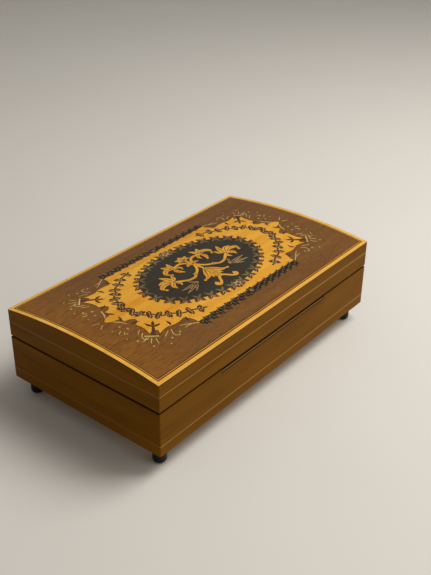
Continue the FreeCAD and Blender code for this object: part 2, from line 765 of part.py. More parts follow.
bedplate = slab((-size["bed_left"], -size["bed_width"] / 2, 0),
                (size["bed_length"] - size["bed_left"], size["bed_width"] / 2, bed))
bedplate = bedplate.fuse(slab((comb_start - 0.5, comb_back, bed - 0.5),
                              (comb_end + 0.5, comb_root - 1, comb_low)))
bedplate = bedplate.fuse(Part.makeCylinder(2, guide_top - bed + 0.5, vector(rod_x, worm_y, bed - 0.5)))
bed_holes = [Part.makeCylinder(size["arbor_radius"] + size["running_clear"], bed + 2, vector(0, 0, -1)),
             Part.makeCylinder(size["stop_rod_radius"] + size["running_clear"], guide_top + 2,
                               vector(rod_x, worm_y, -1)),
             Part.makeCylinder(size["spindle_radius"] + size["running_clear"], 2,
                               vector(worm_x, worm_y, bed - 1.5))]
bed_holes += [Part.makeCylinder(screw_radius, bed - 1, vector(x, y, -0.5)) for x, y in bed_bolts]
bed_holes += [Part.makeCylinder(size["comb_bolt_radius"], size["comb_bolt_depth"] + 1.5,
                                vector(x, y, comb_low - size["comb_bolt_depth"] - 0.5))
              for x, y in comb_bolts]
# well in the bedplate wherever the second wheel would come near it
second_x = great_x + 2.7
second_tip = 0.5 * size["train_module"] * size["second_teeth"] + size["train_module"]
bed_holes.append(drum_along(second_tip + size["wheel_clear"], second_x - size["wheel_clear"],
                            second_x + size["wheel_thickness"] + size["wheel_clear"], *second_spot))
for hole in bed_holes:
    bedplate = bedplate.cut(hole)
seat("bedplate", bedplate.removeSplitter())


def bolt(radius, low, high, top):
    """Shank from low to high and a round head above it, about Z."""
    shank = Part.makeCylinder(radius, high - low, vector(0, 0, low))
    cap = Part.makeCylinder(2 * radius, top - high, vector(0, 0, high))
    slot = slab((-2 * radius - 1, -0.25, top - 0.4), (2 * radius + 1, 0.25, top + 1))
    return shank.fuse(cap).cut(slot)


def moved(shape, x, y, z=0):
    copy = shape.copy()
    copy.translate(vector(x, y, z))
    return copy


base_screw = bolt(screw_radius, -(bed - 1.5), size["base_thickness"], size["base_thickness"] + 1.4)
base_screw.rotate(vector(), vector(1, 0, 0), 180)
seat("bedplate_screws", Part.Compound([moved(base_screw, x, y) for x, y in bed_bolts]))
comb_top = comb_low + size["comb_thickness"]
comb_screw = bolt(size["comb_bolt_radius"], comb_low - size["comb_bolt_depth"], comb_top,
                  comb_top + 1.2 * size["comb_bolt_radius"])
seat("comb_screws", Part.Compound([moved(comb_screw, x, y) for x, y in comb_bolts]))

comb = slab((comb_start, comb_back, comb_low), (comb_end, comb_root, comb_top))
tooth_low = comb_low + 0.35 * size["comb_thickness"]
for k in range(int(size["comb_notes"])):
    start = comb_start + size["comb_pitch"] * k + 0.5 * size["comb_slit"]
    finish = start + size["comb_pitch"] - size["comb_slit"]
    comb = comb.fuse(slab((start, comb_root - 0.5, tooth_low),
                          (finish, comb_tip, tooth_low + size["comb_tooth"])))
for x, y in comb_bolts:
    comb = comb.cut(Part.makeCylinder(size["comb_bolt_radius"] + size["comb_bolt_clear"],
                                      size["comb_thickness"] + 2, vector(x, y, comb_low - 1)))
seat("comb", comb.removeSplitter())

# Spring barrel with crown teeth on its top rim, its cap, and the spring inside
crown_radius = 0.5 * size["crown_module"] * size["crown_teeth"]
crown_pitch_z = axis_z - 0.5 * size["crown_module"] * size["crown_pinion_teeth"]
crown_root = crown_pitch_z - 1.2 * size["crown_module"]
crown_tip = crown_pitch_z + 0.8 * size["crown_module"]
barrel_radius = crown_radius + 0.5 * size["crown_face"]
barrel_low = bed + size["barrel_lift"]
arbor_bore = size["arbor_radius"] + size["running_clear"]
barrel_inner = barrel_radius - size["barrel_wall"]
barrel = ring(barrel_radius, barrel_inner, barrel_low, crown_root)
barrel = barrel.fuse(ring(barrel_radius, arbor_bore, crown_root - 1, crown_root))
tooth_half = 0.25 * math.pi * size["crown_module"] - 0.5 * size["mesh_play"]
lean = math.tan(math.radians(20))
crown_teeth = []
for k in range(int(size["crown_teeth"])):
    low_half = tooth_half + (crown_pitch_z - crown_root + 0.3) * lean
    tip_half = tooth_half - (crown_tip - crown_pitch_z) * lean
    reach = crown_radius - 0.5 * size["crown_face"]
    corners = [vector(reach, -low_half, crown_root - 0.3), vector(reach, low_half, crown_root - 0.3),
               vector(reach, tip_half, crown_tip), vector(reach, -tip_half, crown_tip)]
    tooth = Part.Face(Part.makePolygon(corners + corners[:1])).extrude(vector(size["crown_face"], 0, 0))
    tooth.rotate(vector(), vector(0, 0, 1), 360 * k / size["crown_teeth"])
    crown_teeth.append(tooth)
barrel = barrel.multiFuse(crown_teeth).common(Part.makeCylinder(barrel_radius, crown_tip + 1))
seat("spring_barrel", barrel.removeSplitter())
seat("barrel_cap", ring(barrel_inner, arbor_bore, barrel_low, barrel_low + 0.8))


def spiral(inner, outer, strip, pitch, low, high):
    """A flat strip wound outwards as half circles about two centres."""
    turns = int(2 * (outer - inner - pitch) / pitch)
    lines = []
    for offset in (-0.5 * strip, 0.5 * strip):
        edges = []
        for k in range(turns):
            radius = inner + 0.5 * strip + 0.25 * pitch + 0.5 * pitch * k + offset
            middle = vector(0.25 * pitch if k % 2 else -0.25 * pitch, 0, 0)
            side = -1 if k % 2 else 1
            edges.append(Part.Arc(middle + vector(radius * side, 0, 0), middle + vector(0, radius * side, 0),
                                  middle - vector(radius * side, 0, 0)).toShape())
        lines.append(edges)
    ends = [Part.LineSegment(lines[0][k].valueAt(lines[0][k].ParameterRange[end]),
                             lines[1][k].valueAt(lines[1][k].ParameterRange[end])).toShape()
            for k, end in ((0, 0), (-1, 1))]
    wire = Part.Wire(Part.__sortEdges__(lines[0] + lines[1] + ends))
    tape = Part.Face(wire).extrude(vector(0, 0, high - low))
    tape.translate(vector(0, 0, low))
    print("mainspring: gap between turns %.3f mm" % (pitch - strip))
    return tape


seat("mainspring", spiral(size["arbor_radius"] + 0.4, barrel_inner - 0.3, size["spring_strip"],
                          size["spring_pitch"], barrel_low + 1.1, crown_root - 1.3))

# Winding arbor, one-way clutch spring, key and escutcheon
key_middle = size["key_floor_gap"] + size["key_lobe"] - origin[2]
hub_top = -size["base_thickness"] - 0.6
hub_low = key_middle - 1
arbor_low = hub_low + 1.5
arbor = Part.makeCylinder(size["arbor_radius"], crown_root + 0.6 - arbor_low, vector(0, 0, arbor_low))
arbor = arbor.fuse(ring(size["arbor_radius"] + 1, size["arbor_radius"] - 0.5, bed + 0.05,
                        barrel_low - 0.05))
seat("winding_arbor", arbor.removeSplitter())
clutch_turns = 3
clutch_pitch = size["clutch_wire"] + 0.42
seat("clutch_spring", coil(size["arbor_radius"] + 0.1 + 0.5 * size["clutch_wire"], clutch_pitch,
                           clutch_turns, size["clutch_wire"], -0.4 - clutch_pitch * clutch_turns
                           - 0.5 * size["clutch_wire"]))
key = Part.makeCylinder(size["key_hub"], hub_top - hub_low, vector(0, 0, hub_low))
half_key = 0.5 * size["key_thickness"]
for side in (-1, 1):
    lobe = Part.makeCylinder(size["key_lobe"], size["key_thickness"],
                             vector(side * size["key_span"], -half_key, key_middle), vector(0, 1, 0))
    eye = Part.makeCylinder(0.4 * size["key_lobe"], size["key_thickness"] + 2,
                            vector(side * size["key_span"], -half_key - 1, key_middle), vector(0, 1, 0))
    key = key.fuse(lobe).cut(eye)
key = key.fuse(slab((-0.5 * size["key_span"], -half_key, key_middle - 0.6 * size["key_lobe"]),
                    (0.5 * size["key_span"], half_key, key_middle + 0.6 * size["key_lobe"])))
key = key.cut(Part.makeCylinder(size["arbor_radius"], hub_top - arbor_low + 1, vector(0, 0, arbor_low)))
seat("winding_key", key.removeSplitter())
escutcheon = ring(size["escutcheon_bore"] + 1, size["escutcheon_bore"], -size["base_thickness"], 0)
flange = ring(size["escutcheon_bore"] + 2.5, size["escutcheon_bore"], -size["base_thickness"] - 0.6,
              -size["base_thickness"])
seat("key_escutcheon", escutcheon.fuse(flange).removeSplitter())

# Pinned cylinder on its arbor, with the crown pinion at one end and the great wheel at the other
shaft = size["shaft_radius"]
pinion_low = crown_radius - 0.5 * size["crown_face"] - 0.1
pinion_high = crown_radius + 0.5 * size["crown_face"] + 0.1
end_x = plate_x + size["plate_thickness"] + 0.2
cylinder_arbor = drum_along(shaft, pinion_low - 0.2, end_x, 0, axis_z)
seat("cylinder_arbor", cylinder_arbor)
hole = drum_along(shaft, -5, end_x, 0, 0)
pinion = gear(size["crown_pinion_teeth"], size["crown_module"], pinion_high - pinion_low, size["mesh_play"],
              -0.5 * math.pi + math.pi / size["crown_pinion_teeth"], 0.8, 1.1).cut(hole)
seat("cylinder_pinion", moved(pinion, pinion_low, 0, axis_z))
drum = drum_along(size["drum_radius"], size["drum_start"], drum_end, 0, axis_z)
hollow = drum_along(size["drum_radius"] - 0.8, size["drum_start"] + 1, drum_end - 1, 0, axis_z)
seat("cylinder_drum", drum.cut(hollow).cut(moved(hole, 0, 0, axis_z)))
music = []
golden = math.pi * (3 - math.sqrt(5))
for note in range(int(size["comb_notes"])):
    along = comb_start + size["comb_pitch"] * (note + 0.5)
    for beat in range(5):
        angle = golden * (note * 5 + beat * 7) + 2 * math.pi * beat / 5
        outwards = polar(1, angle)
        foot = vector(along, 0, axis_z) + outwards * (size["drum_radius"] - 0.5)
        music.append(Part.makeCylinder(size["music_pin_radius"], size["music_pin_height"] + 0.5, foot,
                                       outwards))
seat("cylinder_pins", Part.Compound(music))
wheel_x = size["wheel_thickness"]
great_turn = second_angle
great = gear(size["great_teeth"], size["train_module"], wheel_x, size["train_play"], great_turn).cut(hole)
seat("great_wheel", moved(great, great_x, 0, axis_z))
bracket_x = pinion_high + 0.5
foot_top = bed + size["plate_foot_height"]
half = size["bracket_half"]
bracket = slab((bracket_x, -half, bed),
               (bracket_x + size["plate_thickness"], half, axis_z + size["plate_edge"]))
bracket = bracket.fuse(slab((bracket_x, -half, bed), (bracket_x + size["plate_foot"], half, foot_top)))
bracket = bracket.cut(moved(drum_along(shaft + size["running_clear"], -5, end_x), 0, 0, axis_z))
seat("bearing_bracket", bracket.removeSplitter())

# Governor: two wheels between plates, then an upright endless screw with its fan
spindle = size["spindle_radius"]
spin_low = great_x - 2
second = drum_along(spindle, spin_low, end_x, *second_spot)
small = gear(size["pinion_teeth"], size["train_module"], wheel_x + 0.4, size["train_play"],
             second_angle + math.pi + math.pi / size["pinion_teeth"])
big = gear(size["second_teeth"], size["train_module"], wheel_x, size["train_play"], worm_angle)
second = second.fuse(moved(small, great_x - 0.2, *second_spot)).fuse(moved(big, second_x, *second_spot))
seat("second_wheel", second.removeSplitter())
third_wheel = drum_along(spindle, spin_low, end_x, *third_spot)
small = gear(size["pinion_teeth"], size["train_module"], wheel_x + 0.4, size["train_play"],
             worm_angle + math.pi + math.pi / size["pinion_teeth"])
screw_wheel = gear(size["worm_teeth"], size["worm_module"], wheel_x, size["worm_play"])
third_wheel = third_wheel.fuse(moved(small, second_x - 0.2, *third_spot))
third_wheel = third_wheel.fuse(moved(screw_wheel, worm_x - 0.5 * wheel_x, *third_spot))
seat("third_wheel", third_wheel.removeSplitter())
plate_high = third_spot[1] + size["plate_edge"]
plate_end = third_spot[0] + size["plate_side"]
plate = slab((plate_x, -size["plate_side"], bed), (plate_x + size["plate_thickness"], plate_end, plate_high))
plate = plate.fuse(slab((plate_x, -size["plate_side"], bed), (plate_x + size["plate_foot"], half, foot_top)))
for spot, radius in (((0, axis_z), shaft), (second_spot, spindle), (third_spot, spindle)):
    plate = plate.cut(drum_along(radius + size["running_clear"], plate_x - 1, plate_x + 3, *spot))
seat("governor_plate_outer", plate.removeSplitter())
inner_low = spin_low + 0.2
plate_start = second_spot[0] - 0.5 * size["plate_side"]
plate = slab((inner_low, plate_start, bed), (inner_low + size["plate_thickness"], plate_end, plate_high))
plate = plate.fuse(slab((inner_low - size["plate_foot"], plate_start, bed), (inner_low, plate_end, foot_top)))
for spot in (second_spot, third_spot):
    plate = plate.cut(drum_along(spindle + size["running_clear"], inner_low - 1, inner_low + 3, *spot))
seat("governor_plate_inner", plate.removeSplitter())

thread = math.pi * size["worm_module"]
worm_root = size["worm_pitch_radius"] - 1.15 * size["worm_module"]
worm_tip = size["worm_pitch_radius"] + 0.8 * size["worm_module"]
worm_turns = 4
half_thread = 0.25 * thread - 0.25 * size["worm_play"]
flank = math.tan(math.radians(25))


def worm_shape():
    """Right-handed thread whose crest faces the wheel half a pitch either side of its tooth."""
    deep = worm_root - 0.15
    wide = half_thread + (size["worm_pitch_radius"] - deep) * flank
    slim = half_thread - (worm_tip - size["worm_pitch_radius"]) * flank
    corners = [vector(deep, 0, -wide), vector(worm_tip, 0, -slim), vector(worm_tip, 0, slim),
               vector(deep, 0, wide)]
    path = Part.makeHelix(thread, thread * worm_turns, size["worm_pitch_radius"])
    tooth = Part.Wire(path).makePipeShell([Part.makePolygon(corners + corners[:1])], True, True)
    tooth.rotate(vector(), vector(0, 0, 1), -90)
    tooth.translate(vector(0, 0, third_spot[1] - 0.5 * thread * worm_turns + 0.5 * thread))
    return tooth


fan_low = third_spot[1] + worm_wheel_radius + 1
cock_low = fan_low + size["fan_height"] + 0.5
worm = Part.makeCylinder(worm_root, fan_low - bed - 0.3, vector(0, 0, bed + 0.2))
worm = worm.fuse(worm_shape())
worm = worm.fuse(Part.makeCylinder(spindle, cock_low + 0.7 - bed + 1.2, vector(0, 0, bed - 1.2)))
worm = worm.fuse(Part.makeCylinder(size["brake_radius"], brake_top - brake_low, vector(0, 0, brake_low)))
seat("worm", moved(worm, worm_x, worm_y))
fan = Part.makeCylinder(1.4, size["fan_height"], vector(0, 0, fan_low))
fan = fan.fuse(slab((-size["fan_radius"], -0.1, fan_low),
                    (size["fan_radius"], 0.1, fan_low + size["fan_height"])))
fan = fan.cut(Part.makeCylinder(spindle, size["fan_height"] + 2, vector(0, 0, fan_low - 1)))
seat("governor_fan", moved(fan, worm_x, worm_y))
post_y = worm_y + size["fan_radius"] + 0.7
cock = slab((worm_x - 2, post_y, bed), (worm_x + 2, post_y + 1.6, cock_low + 1))
cock = cock.fuse(slab((worm_x - 2, worm_y - 1.6, cock_low), (worm_x + 2, post_y + 1.6, cock_low + 1)))
cock = cock.cut(Part.makeCylinder(spindle + size["running_clear"], 1.8, vector(worm_x, worm_y, cock_low - 1)))
seat("governor_cock", cock.removeSplitter())

# Stop plunger: the closed lid holds it down on the brake disc, its spring lifts it
arch_radius = ((size["box_width"] / 2) ** 2 + size["arch_rise"] ** 2) / (2 * size["arch_rise"])
lining_radius = arch_radius - size["veneer"] - size["panel_thickness"] - size["lid_lining"]
lid_under = (size["foot_height"] + size["case_height"] + size["lid_height"] + size["arch_rise"] - arch_radius
             + math.sqrt(lining_radius ** 2 - worm_y ** 2) - origin[2])
plunger = Part.makeCylinder(size["stop_rod_radius"], lid_under - size["stop_rod_gap"] - 1, vector(0, 0, 1))
plunger = plunger.fuse(Part.makeCylinder(1.9, 1, vector(0, 0, foot_low)))
plunger = plunger.fuse(slab((-size["stop_rod_reach"] + size["worm_pitch_radius"] + 0.8, -0.75, foot_low),
                            (0, 0.75, foot_low + 1)))
seat("stop_plunger", moved(plunger.removeSplitter(), rod_x, worm_y))
coil_radius = size["stop_rod_radius"] + 0.3 + 0.5 * size["stop_wire"]
coil_turns = 3.5
coil_room = foot_low - guide_top - 0.1 - size["stop_wire"]
print("stop spring: gap between turns %.3f mm" % (coil_room / coil_turns - size["stop_wire"]))
print("clutch spring: gap between turns %.3f mm" % (clutch_pitch - size["clutch_wire"]))
seat("stop_spring", moved(coil(coil_radius, coil_room / coil_turns, coil_turns, size["stop_wire"],
                               guide_top + 0.05 + 0.5 * size["stop_wire"]), rod_x, worm_y))
bush = ring(bush_radius, size["stop_rod_radius"] + size["running_clear"], cover_top - size["cover_thickness"],
            cover_top)
bush = bush.fuse(ring(bush_radius + 1, size["stop_rod_radius"] + size["running_clear"], cover_top,
                      cover_top + 0.5))
keep(made("plunger_bush", bush.removeSplitter(), tuple(bush_spot)), "plunger_bush")

doc.recompute()
for item in doc.Objects:
    if "Invalid" in item.State or "Error" in item.State:
        raise SystemExit("%s did not rebuild: %s" % (item.Name, item.State))
os.makedirs("parts", exist_ok=True)
for item in nodes:
    if item.Shape.isNull() or not item.Shape.isValid() or not item.Shape.Solids:
        raise SystemExit("%s has no sound solid" % item.Label)
    item.Shape.exportStep("parts/%s.step" % item.Label)
print("%d pieces written" % len(nodes))
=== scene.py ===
import json
import math

import bpy
import numpy as np
from mathutils import Matrix, Vector


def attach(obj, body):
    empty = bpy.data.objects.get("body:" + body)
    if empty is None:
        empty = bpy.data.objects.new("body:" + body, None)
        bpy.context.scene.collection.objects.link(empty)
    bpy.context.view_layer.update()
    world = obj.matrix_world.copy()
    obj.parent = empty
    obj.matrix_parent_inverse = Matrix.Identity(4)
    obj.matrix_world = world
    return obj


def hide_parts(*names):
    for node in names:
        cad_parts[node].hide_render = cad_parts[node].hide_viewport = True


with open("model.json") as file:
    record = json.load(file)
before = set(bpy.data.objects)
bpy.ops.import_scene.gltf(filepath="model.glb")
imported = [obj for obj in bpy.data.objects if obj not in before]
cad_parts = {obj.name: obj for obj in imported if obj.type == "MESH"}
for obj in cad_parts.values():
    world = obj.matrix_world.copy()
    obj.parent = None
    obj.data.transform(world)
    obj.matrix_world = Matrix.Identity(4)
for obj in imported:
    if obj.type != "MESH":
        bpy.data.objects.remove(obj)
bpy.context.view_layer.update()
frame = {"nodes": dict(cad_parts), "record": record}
mm = 0.001
print("frame loaded:", len(frame["nodes"]), "nodes")

# camera found from the box's own corners in the photograph: angles in degrees, place in mm
view = {"azimuth": -51.747, "elevation": 30.074, "roll": 0.7127, "place": (-435.0, -357.2, 384.0),
        "lens": 54.1, "sensor": 36, "near": 0.01}


def setCamera():
    az, el, roll = (math.radians(view[k]) for k in ("azimuth", "elevation", "roll"))
    back = np.array([math.sin(az) * math.cos(el), -math.cos(az) * math.cos(el), math.sin(el)])
    right = np.array([math.cos(az), math.sin(az), 0])
    up = np.cross(back, right)
    across = math.cos(roll) * right + math.sin(roll) * up
    above = -math.sin(roll) * right + math.cos(roll) * up
    data = bpy.data.cameras.new("camera")
    data.lens = view["lens"]
    data.sensor_width = view["sensor"]
    data.clip_start = view["near"]
    camera = bpy.data.objects.new("camera", data)
    turn = np.eye(4)
    turn[:3, 0] = across
    turn[:3, 1] = above
    turn[:3, 2] = back
    turn[:3, 3] = np.array(view["place"]) * mm
    camera.matrix_world = Matrix(turn.tolist())
    bpy.context.collection.objects.link(camera)
    bpy.context.scene.camera = camera


setCamera()
print("camera set")

# sizes of the box in mm that finishes and inlays follow
box = {"halfX": 125.0, "halfY": 70.0, "fieldX": 120.6, "fieldY": 65.6, "seamZ": 48.85,
       "ledgeZ": 46.8, "recessHalf": 63.0}


def hexColour(text):
    # sRGB hex to linear
    parts = np.array([int(text[k:k + 2], 16) for k in (1, 3, 5)]) / 255
    linear = np.where(parts <= 0.04045, parts / 12.92, ((parts + 0.055) / 1.055) ** 2.4)
    return tuple(linear) + (1.0,)


def addNode(tree, kind, feeds, **settings):
    # each feed is a plain value, a socket, or a node that gives its first output
    node = tree.nodes.new("ShaderNode" + kind)
    for key, value in settings.items():
        setattr(node, key, value)
    for socket, feed in feeds.items():
        if isinstance(feed, bpy.types.Node):
            feed = feed.outputs[0]
        if isinstance(feed, bpy.types.NodeSocket):
            tree.links.new(feed, node.inputs[socket])
        else:
            node.inputs[socket].default_value = feed
    return node


def newFinish(name, **values):
    material = bpy.data.materials.new(name)
    material.use_nodes = True
    tree = material.node_tree
    shader = tree.nodes["Principled BSDF"]
    for key, value in values.items():
        shader.inputs[key.replace("_", " ")].default_value = value
    return material, tree, shader


def scaledCoords(tree, sizes):
    # object coordinates divided by the pattern's size in mm along X, Y and Z
    coords = addNode(tree, "TexCoord", {}).outputs["Object"]
    return addNode(tree, "Mapping", {"Vector": coords, "Scale": tuple(1000 / size for size in sizes)})


def objectPlace(tree):
    coords = addNode(tree, "TexCoord", {}).outputs["Object"]
    return addNode(tree, "SeparateXYZ", {"Vector": coords}).outputs


def edgeDepth(tree, place, strip):
    # distance in from a rectangle's edges, negative inside: the larger of |X| - x and |Y| - y
    gaps = []
    for axis, half in (("X", strip["x"]), ("Y", strip["y"])):
        distance = addNode(tree, "Math", {0: place[axis]}, operation="ABSOLUTE")
        gaps.append(addNode(tree, "Math", {0: distance, 1: half * mm}, operation="SUBTRACT"))
    return addNode(tree, "Math", {0: gaps[0], 1: gaps[1]}, operation="MAXIMUM")


def nearHeight(tree, place, strip):
    # 1 close to the strip's height, down to 0 at its reach above and below
    offset = addNode(tree, "Math", {0: place["Z"], 1: strip["z"] * mm}, operation="SUBTRACT")
    distance = addNode(tree, "Math", {0: offset}, operation="ABSOLUTE")
    reach = strip["reach"] * mm
    return addNode(tree, "MapRange", {"Value": distance, "From Min": reach,
                                      "From Max": strip["core"] * reach})


def rimShade(tree, rim):
    # strip along a rectangle's edges, from its low depth to its high depth
    depth = edgeDepth(tree, objectPlace(tree), rim)
    return addNode(tree, "MapRange", {"Value": depth, "From Min": rim["low"] * mm,
                                      "From Max": rim["high"] * mm})


def seamShade(tree, seam):
    # painted shade in the seam gap: near the seam's height, and only on the outermost skin
    place = objectPlace(tree)
    near = nearHeight(tree, place, seam)
    low, high = seam["skin"]
    skin = addNode(tree, "MapRange", {"Value": edgeDepth(tree, place, seam),
                                      "From Min": low * mm, "From Max": high * mm})
    return addNode(tree, "Math", {0: near, 1: skin}, operation="MULTIPLY")


def markShade(tree, mark):
    # strip along the front: near its height, inside its half length and in front of its y
    place = objectPlace(tree)
    amount = nearHeight(tree, place, mark)
    along = addNode(tree, "Math", {0: place["X"]}, operation="ABSOLUTE")
    for value, limit in ((along, mark["half"]), (place["Y"], mark["y"])):
        inside = addNode(tree, "MapRange", {"Value": value, "From Min": (limit + mark["soft"]) * mm,
                                            "From Max": (limit - mark["soft"]) * mm})
        amount = addNode(tree, "Math", {0: amount, 1: inside}, operation="MULTIPLY")
    return amount


def glowShade(tree, glow, streaks):
    # streaks that gather towards one end
    near = addNode(tree, "MapRange", {"Value": objectPlace(tree)["X"], "From Min": glow["from"] * mm,
                                      "From Max": glow["to"] * mm})
    low, high = glow["streaks"]
    lit = addNode(tree, "MapRange", {"Value": streaks, "From Min": low, "From Max": high})
    return addNode(tree, "Math", {0: near, 1: lit}, operation="MULTIPLY")


# figure of all the woods in mm: patches, streaks that run on along the grain, and short pores
figure = {"patchWidth": 9, "patchLength": 90, "streakRatio": 14, "poreWidth": 0.35, "poreLength": 6,
          "coatGloss": 0.15, "glossSpread": 0.12, "relief": 0.0001, "reliefShare": 0.05}


def woodFinish(name, light, dark, grain, streak=1.6, patch=None, gloss=0.36, coat=0.05, shine=0.2,
               glow=None, seam=None, pore=None, tint="#ffffff", marks=(), rims=()):
    # the dark tone, then each layer's colour mixed in by its own amount
    material, tree, shader = newFinish(name, Coat_Weight=coat, Coat_Roughness=figure["coatGloss"],
                                       Specular_IOR_Level=shine, Specular_Tint=hexColour(tint))
    pore = pore or {"colour": dark, "width": figure["poreWidth"], "from": 0.62, "to": 0.8}
    noises = {}
    for part, width, length, detail, rough in (
            ("patch", figure["patchWidth"], figure["patchLength"], 4.0, 0.5),
            ("streak", streak, streak * figure["streakRatio"], 5.0, 0.6),
            ("pore", pore["width"], figure["poreLength"], 2.0, 0.5)):
        coords = scaledCoords(tree, [length if axis == grain else width for axis in "xyz"])
        noises[part] = addNode(tree, "TexNoise", {"Vector": coords, "Scale": 1.0, "Detail": detail,
                                                  "Roughness": rough})
    layers = []
    for part, low, high, colour in (("streak", 0.3, 0.7, light), ("patch", 0.35, 0.7, patch or light),
                                    ("pore", pore["from"], pore["to"], pore["colour"])):
        amount = addNode(tree, "MapRange", {"Value": noises[part], "From Min": low, "From Max": high})
        layers.append((amount, colour))
    if glow:
        layers.insert(2, (glowShade(tree, glow, noises["streak"]), glow["colour"]))  # under the pores
    if seam:
        layers.append((seamShade(tree, seam), seam["colour"]))
    layers += [(rimShade(tree, rim), rim["colour"]) for rim in rims]
    layers += [(markShade(tree, mark), mark["colour"]) for mark in marks]
    tone = hexColour(dark)
    for amount, colour in layers:
        tone = addNode(tree, "Mix", {0: amount, 6: tone, 7: hexColour(colour)}, data_type="RGBA").outputs[2]
    tree.links.new(tone, shader.inputs["Base Color"])
    rough = addNode(tree, "MapRange", {"Value": noises["patch"], "To Min": gloss,
                                       "To Max": gloss + figure["glossSpread"]})
    tree.links.new(rough.outputs["Result"], shader.inputs["Roughness"])
    bump = addNode(tree, "Bump", {"Height": noises["pore"], "Strength": figure["reliefShare"],
                                  "Distance": figure["relief"]})
    tree.links.new(bump.outputs["Normal"], shader.inputs["Normal"])
    return material


brushing = {"cloud": (6, 6, 6), "lines": (0.3, 5, 0.3), "glossSpread": 0.15}  # mm


def metalFinish(name, colour, shade, gloss):
    # cloudy tarnish in the colour and fine brushed lines in the gloss
    material, tree, shader = newFinish(name, Metallic=1.0)
    cloud = addNode(tree, "TexNoise", {"Vector": scaledCoords(tree, brushing["cloud"]), "Scale": 1.0,
                                       "Detail": 4.0})
    lines = addNode(tree, "TexNoise", {"Vector": scaledCoords(tree, brushing["lines"]), "Scale": 1.0,
                                       "Detail": 2.0})
    tone = addNode(tree, "Mix", {0: cloud, 6: hexColour(colour), 7: hexColour(shade)}, data_type="RGBA")
    tree.links.new(tone.outputs[2], shader.inputs["Base Color"])
    rough = addNode(tree, "MapRange", {"Value": lines, "To Min": gloss,
                                       "To Max": gloss + brushing["glossSpread"]})
    tree.links.new(rough.outputs["Result"], shader.inputs["Roughness"])
    return material


nap = {"pile": (0.5, 0.5, 0.5), "brush": (18, 12, 18),  # mm
       "relief": 0.0004, "reliefShare": 0.4}  # m and strength


def clothFinish(name, colour, shade, sheen):
    # fine pile in the relief, and broad strokes where the nap lies the other way
    material, tree, shader = newFinish(name, Roughness=0.95, Sheen_Weight=0.2, Sheen_Roughness=0.5,
                                       Sheen_Tint=hexColour(sheen), Specular_IOR_Level=0.1)
    pile = addNode(tree, "TexNoise", {"Vector": scaledCoords(tree, nap["pile"]), "Scale": 1.0,
                                      "Detail": 3.0})
    brush = addNode(tree, "TexNoise", {"Vector": scaledCoords(tree, nap["brush"]), "Scale": 1.0,
                                       "Detail": 3.0})
    amount = addNode(tree, "MapRange", {"Value": brush, "From Min": 0.35, "From Max": 0.65})
    tone = addNode(tree, "Mix", {0: amount, 6: hexColour(colour), 7: hexColour(shade)}, data_type="RGBA")
    tree.links.new(tone.outputs[2], shader.inputs["Base Color"])
    bump = addNode(tree, "Bump", {"Height": pile, "Strength": nap["reliefShare"], "Distance": nap["relief"]})
    tree.links.new(bump.outputs["Normal"], shader.inputs["Normal"])
    return material


cover = {"colour": "#8f9a97", "ior": 1.49, "smear": (30, 30, 30),
         "ranges": (("Roughness", 0.02, 0.1), ("Alpha", 0.06, 0.12))}


def clearFinish(name):
    # mostly see-through, with a faint smear in its gloss and strength
    material, tree, shader = newFinish(name, Base_Color=hexColour(cover["colour"]), IOR=cover["ior"])
    smear = addNode(tree, "TexNoise", {"Vector": scaledCoords(tree, cover["smear"]), "Scale": 1.0,
                                       "Detail": 5.0})
    for socket, low, high in cover["ranges"]:
        spread = addNode(tree, "MapRange", {"Value": smear, "To Min": low, "To Max": high})
        tree.links.new(spread.outputs["Result"], shader.inputs[socket])
    return material


# lacquered hardwood: amber shellac over brown wood gives a warm dark gold with a soft shine
caseWood = {"light": "#724808", "dark": "#633d06", "patch": "#794e0b", "tint": "#c8832e",
            "gloss": 0.42, "coat": 0.0, "shine": 0.05}
edges = {"x": box["halfX"], "y": box["halfY"]}
ends = {"x": box["halfX"], "y": 90.0}  # y past the box, so that only its ends count
recess = {"half": box["recessHalf"], "soft": 0.05, "core": 0.7}
# painted shade in the seam gap between lid and case: a dark band on the outer skin near the seam's height
seamPaintedShade = {"colour": "#2c1804", "z": box["seamZ"], "reach": 1.05, "core": 0.5, **edges,
             "skin": (-1.2, -1.0)}
# finger recess in the case front: painted shade on the ledge, a painted highlight with wear on its front
# edge, and a dark line below it
recessMarks = (
    {**recess, "colour": "#2c1804", "z": box["ledgeZ"], "reach": 0.16, "y": -67.95},  # painted shade on the ledge, under the lid
    {**recess, "colour": "#7d6637", "z": box["ledgeZ"], "reach": 0.16, "y": -69.0},  # painted highlight, with wear, on its front edge
    {**recess, "colour": "#2c1804", "z": 46.15, "reach": 0.6, "y": -69.9, "half": 63.3},  # dark line below it
)
bandRims = ({"colour": "#4f2c08", "low": -0.3, "high": -0.1, **edges},  # stained outer edge
            {"colour": "#6b3c0c", "low": -2.9, "high": -3.05, **edges})  # burnt inner line
fieldRims = ({"colour": "#55310f", "low": -1.2, "high": -0.4, "x": box["fieldX"], "y": box["fieldY"]},)
endPaintedShade = ({"colour": "#78501a", "low": -0.6, "high": -0.3, **ends},)  # painted shade: the stringing darker on the ends
goldenEnd = {"colour": "#a8681a", "from": -70, "to": -122, "streaks": (0.35, 0.75)}  # faded at the left end
openPores = {"colour": "#3f2410", "width": 0.55, "from": 0.5, "to": 0.85}  # drawn coarser than life to show
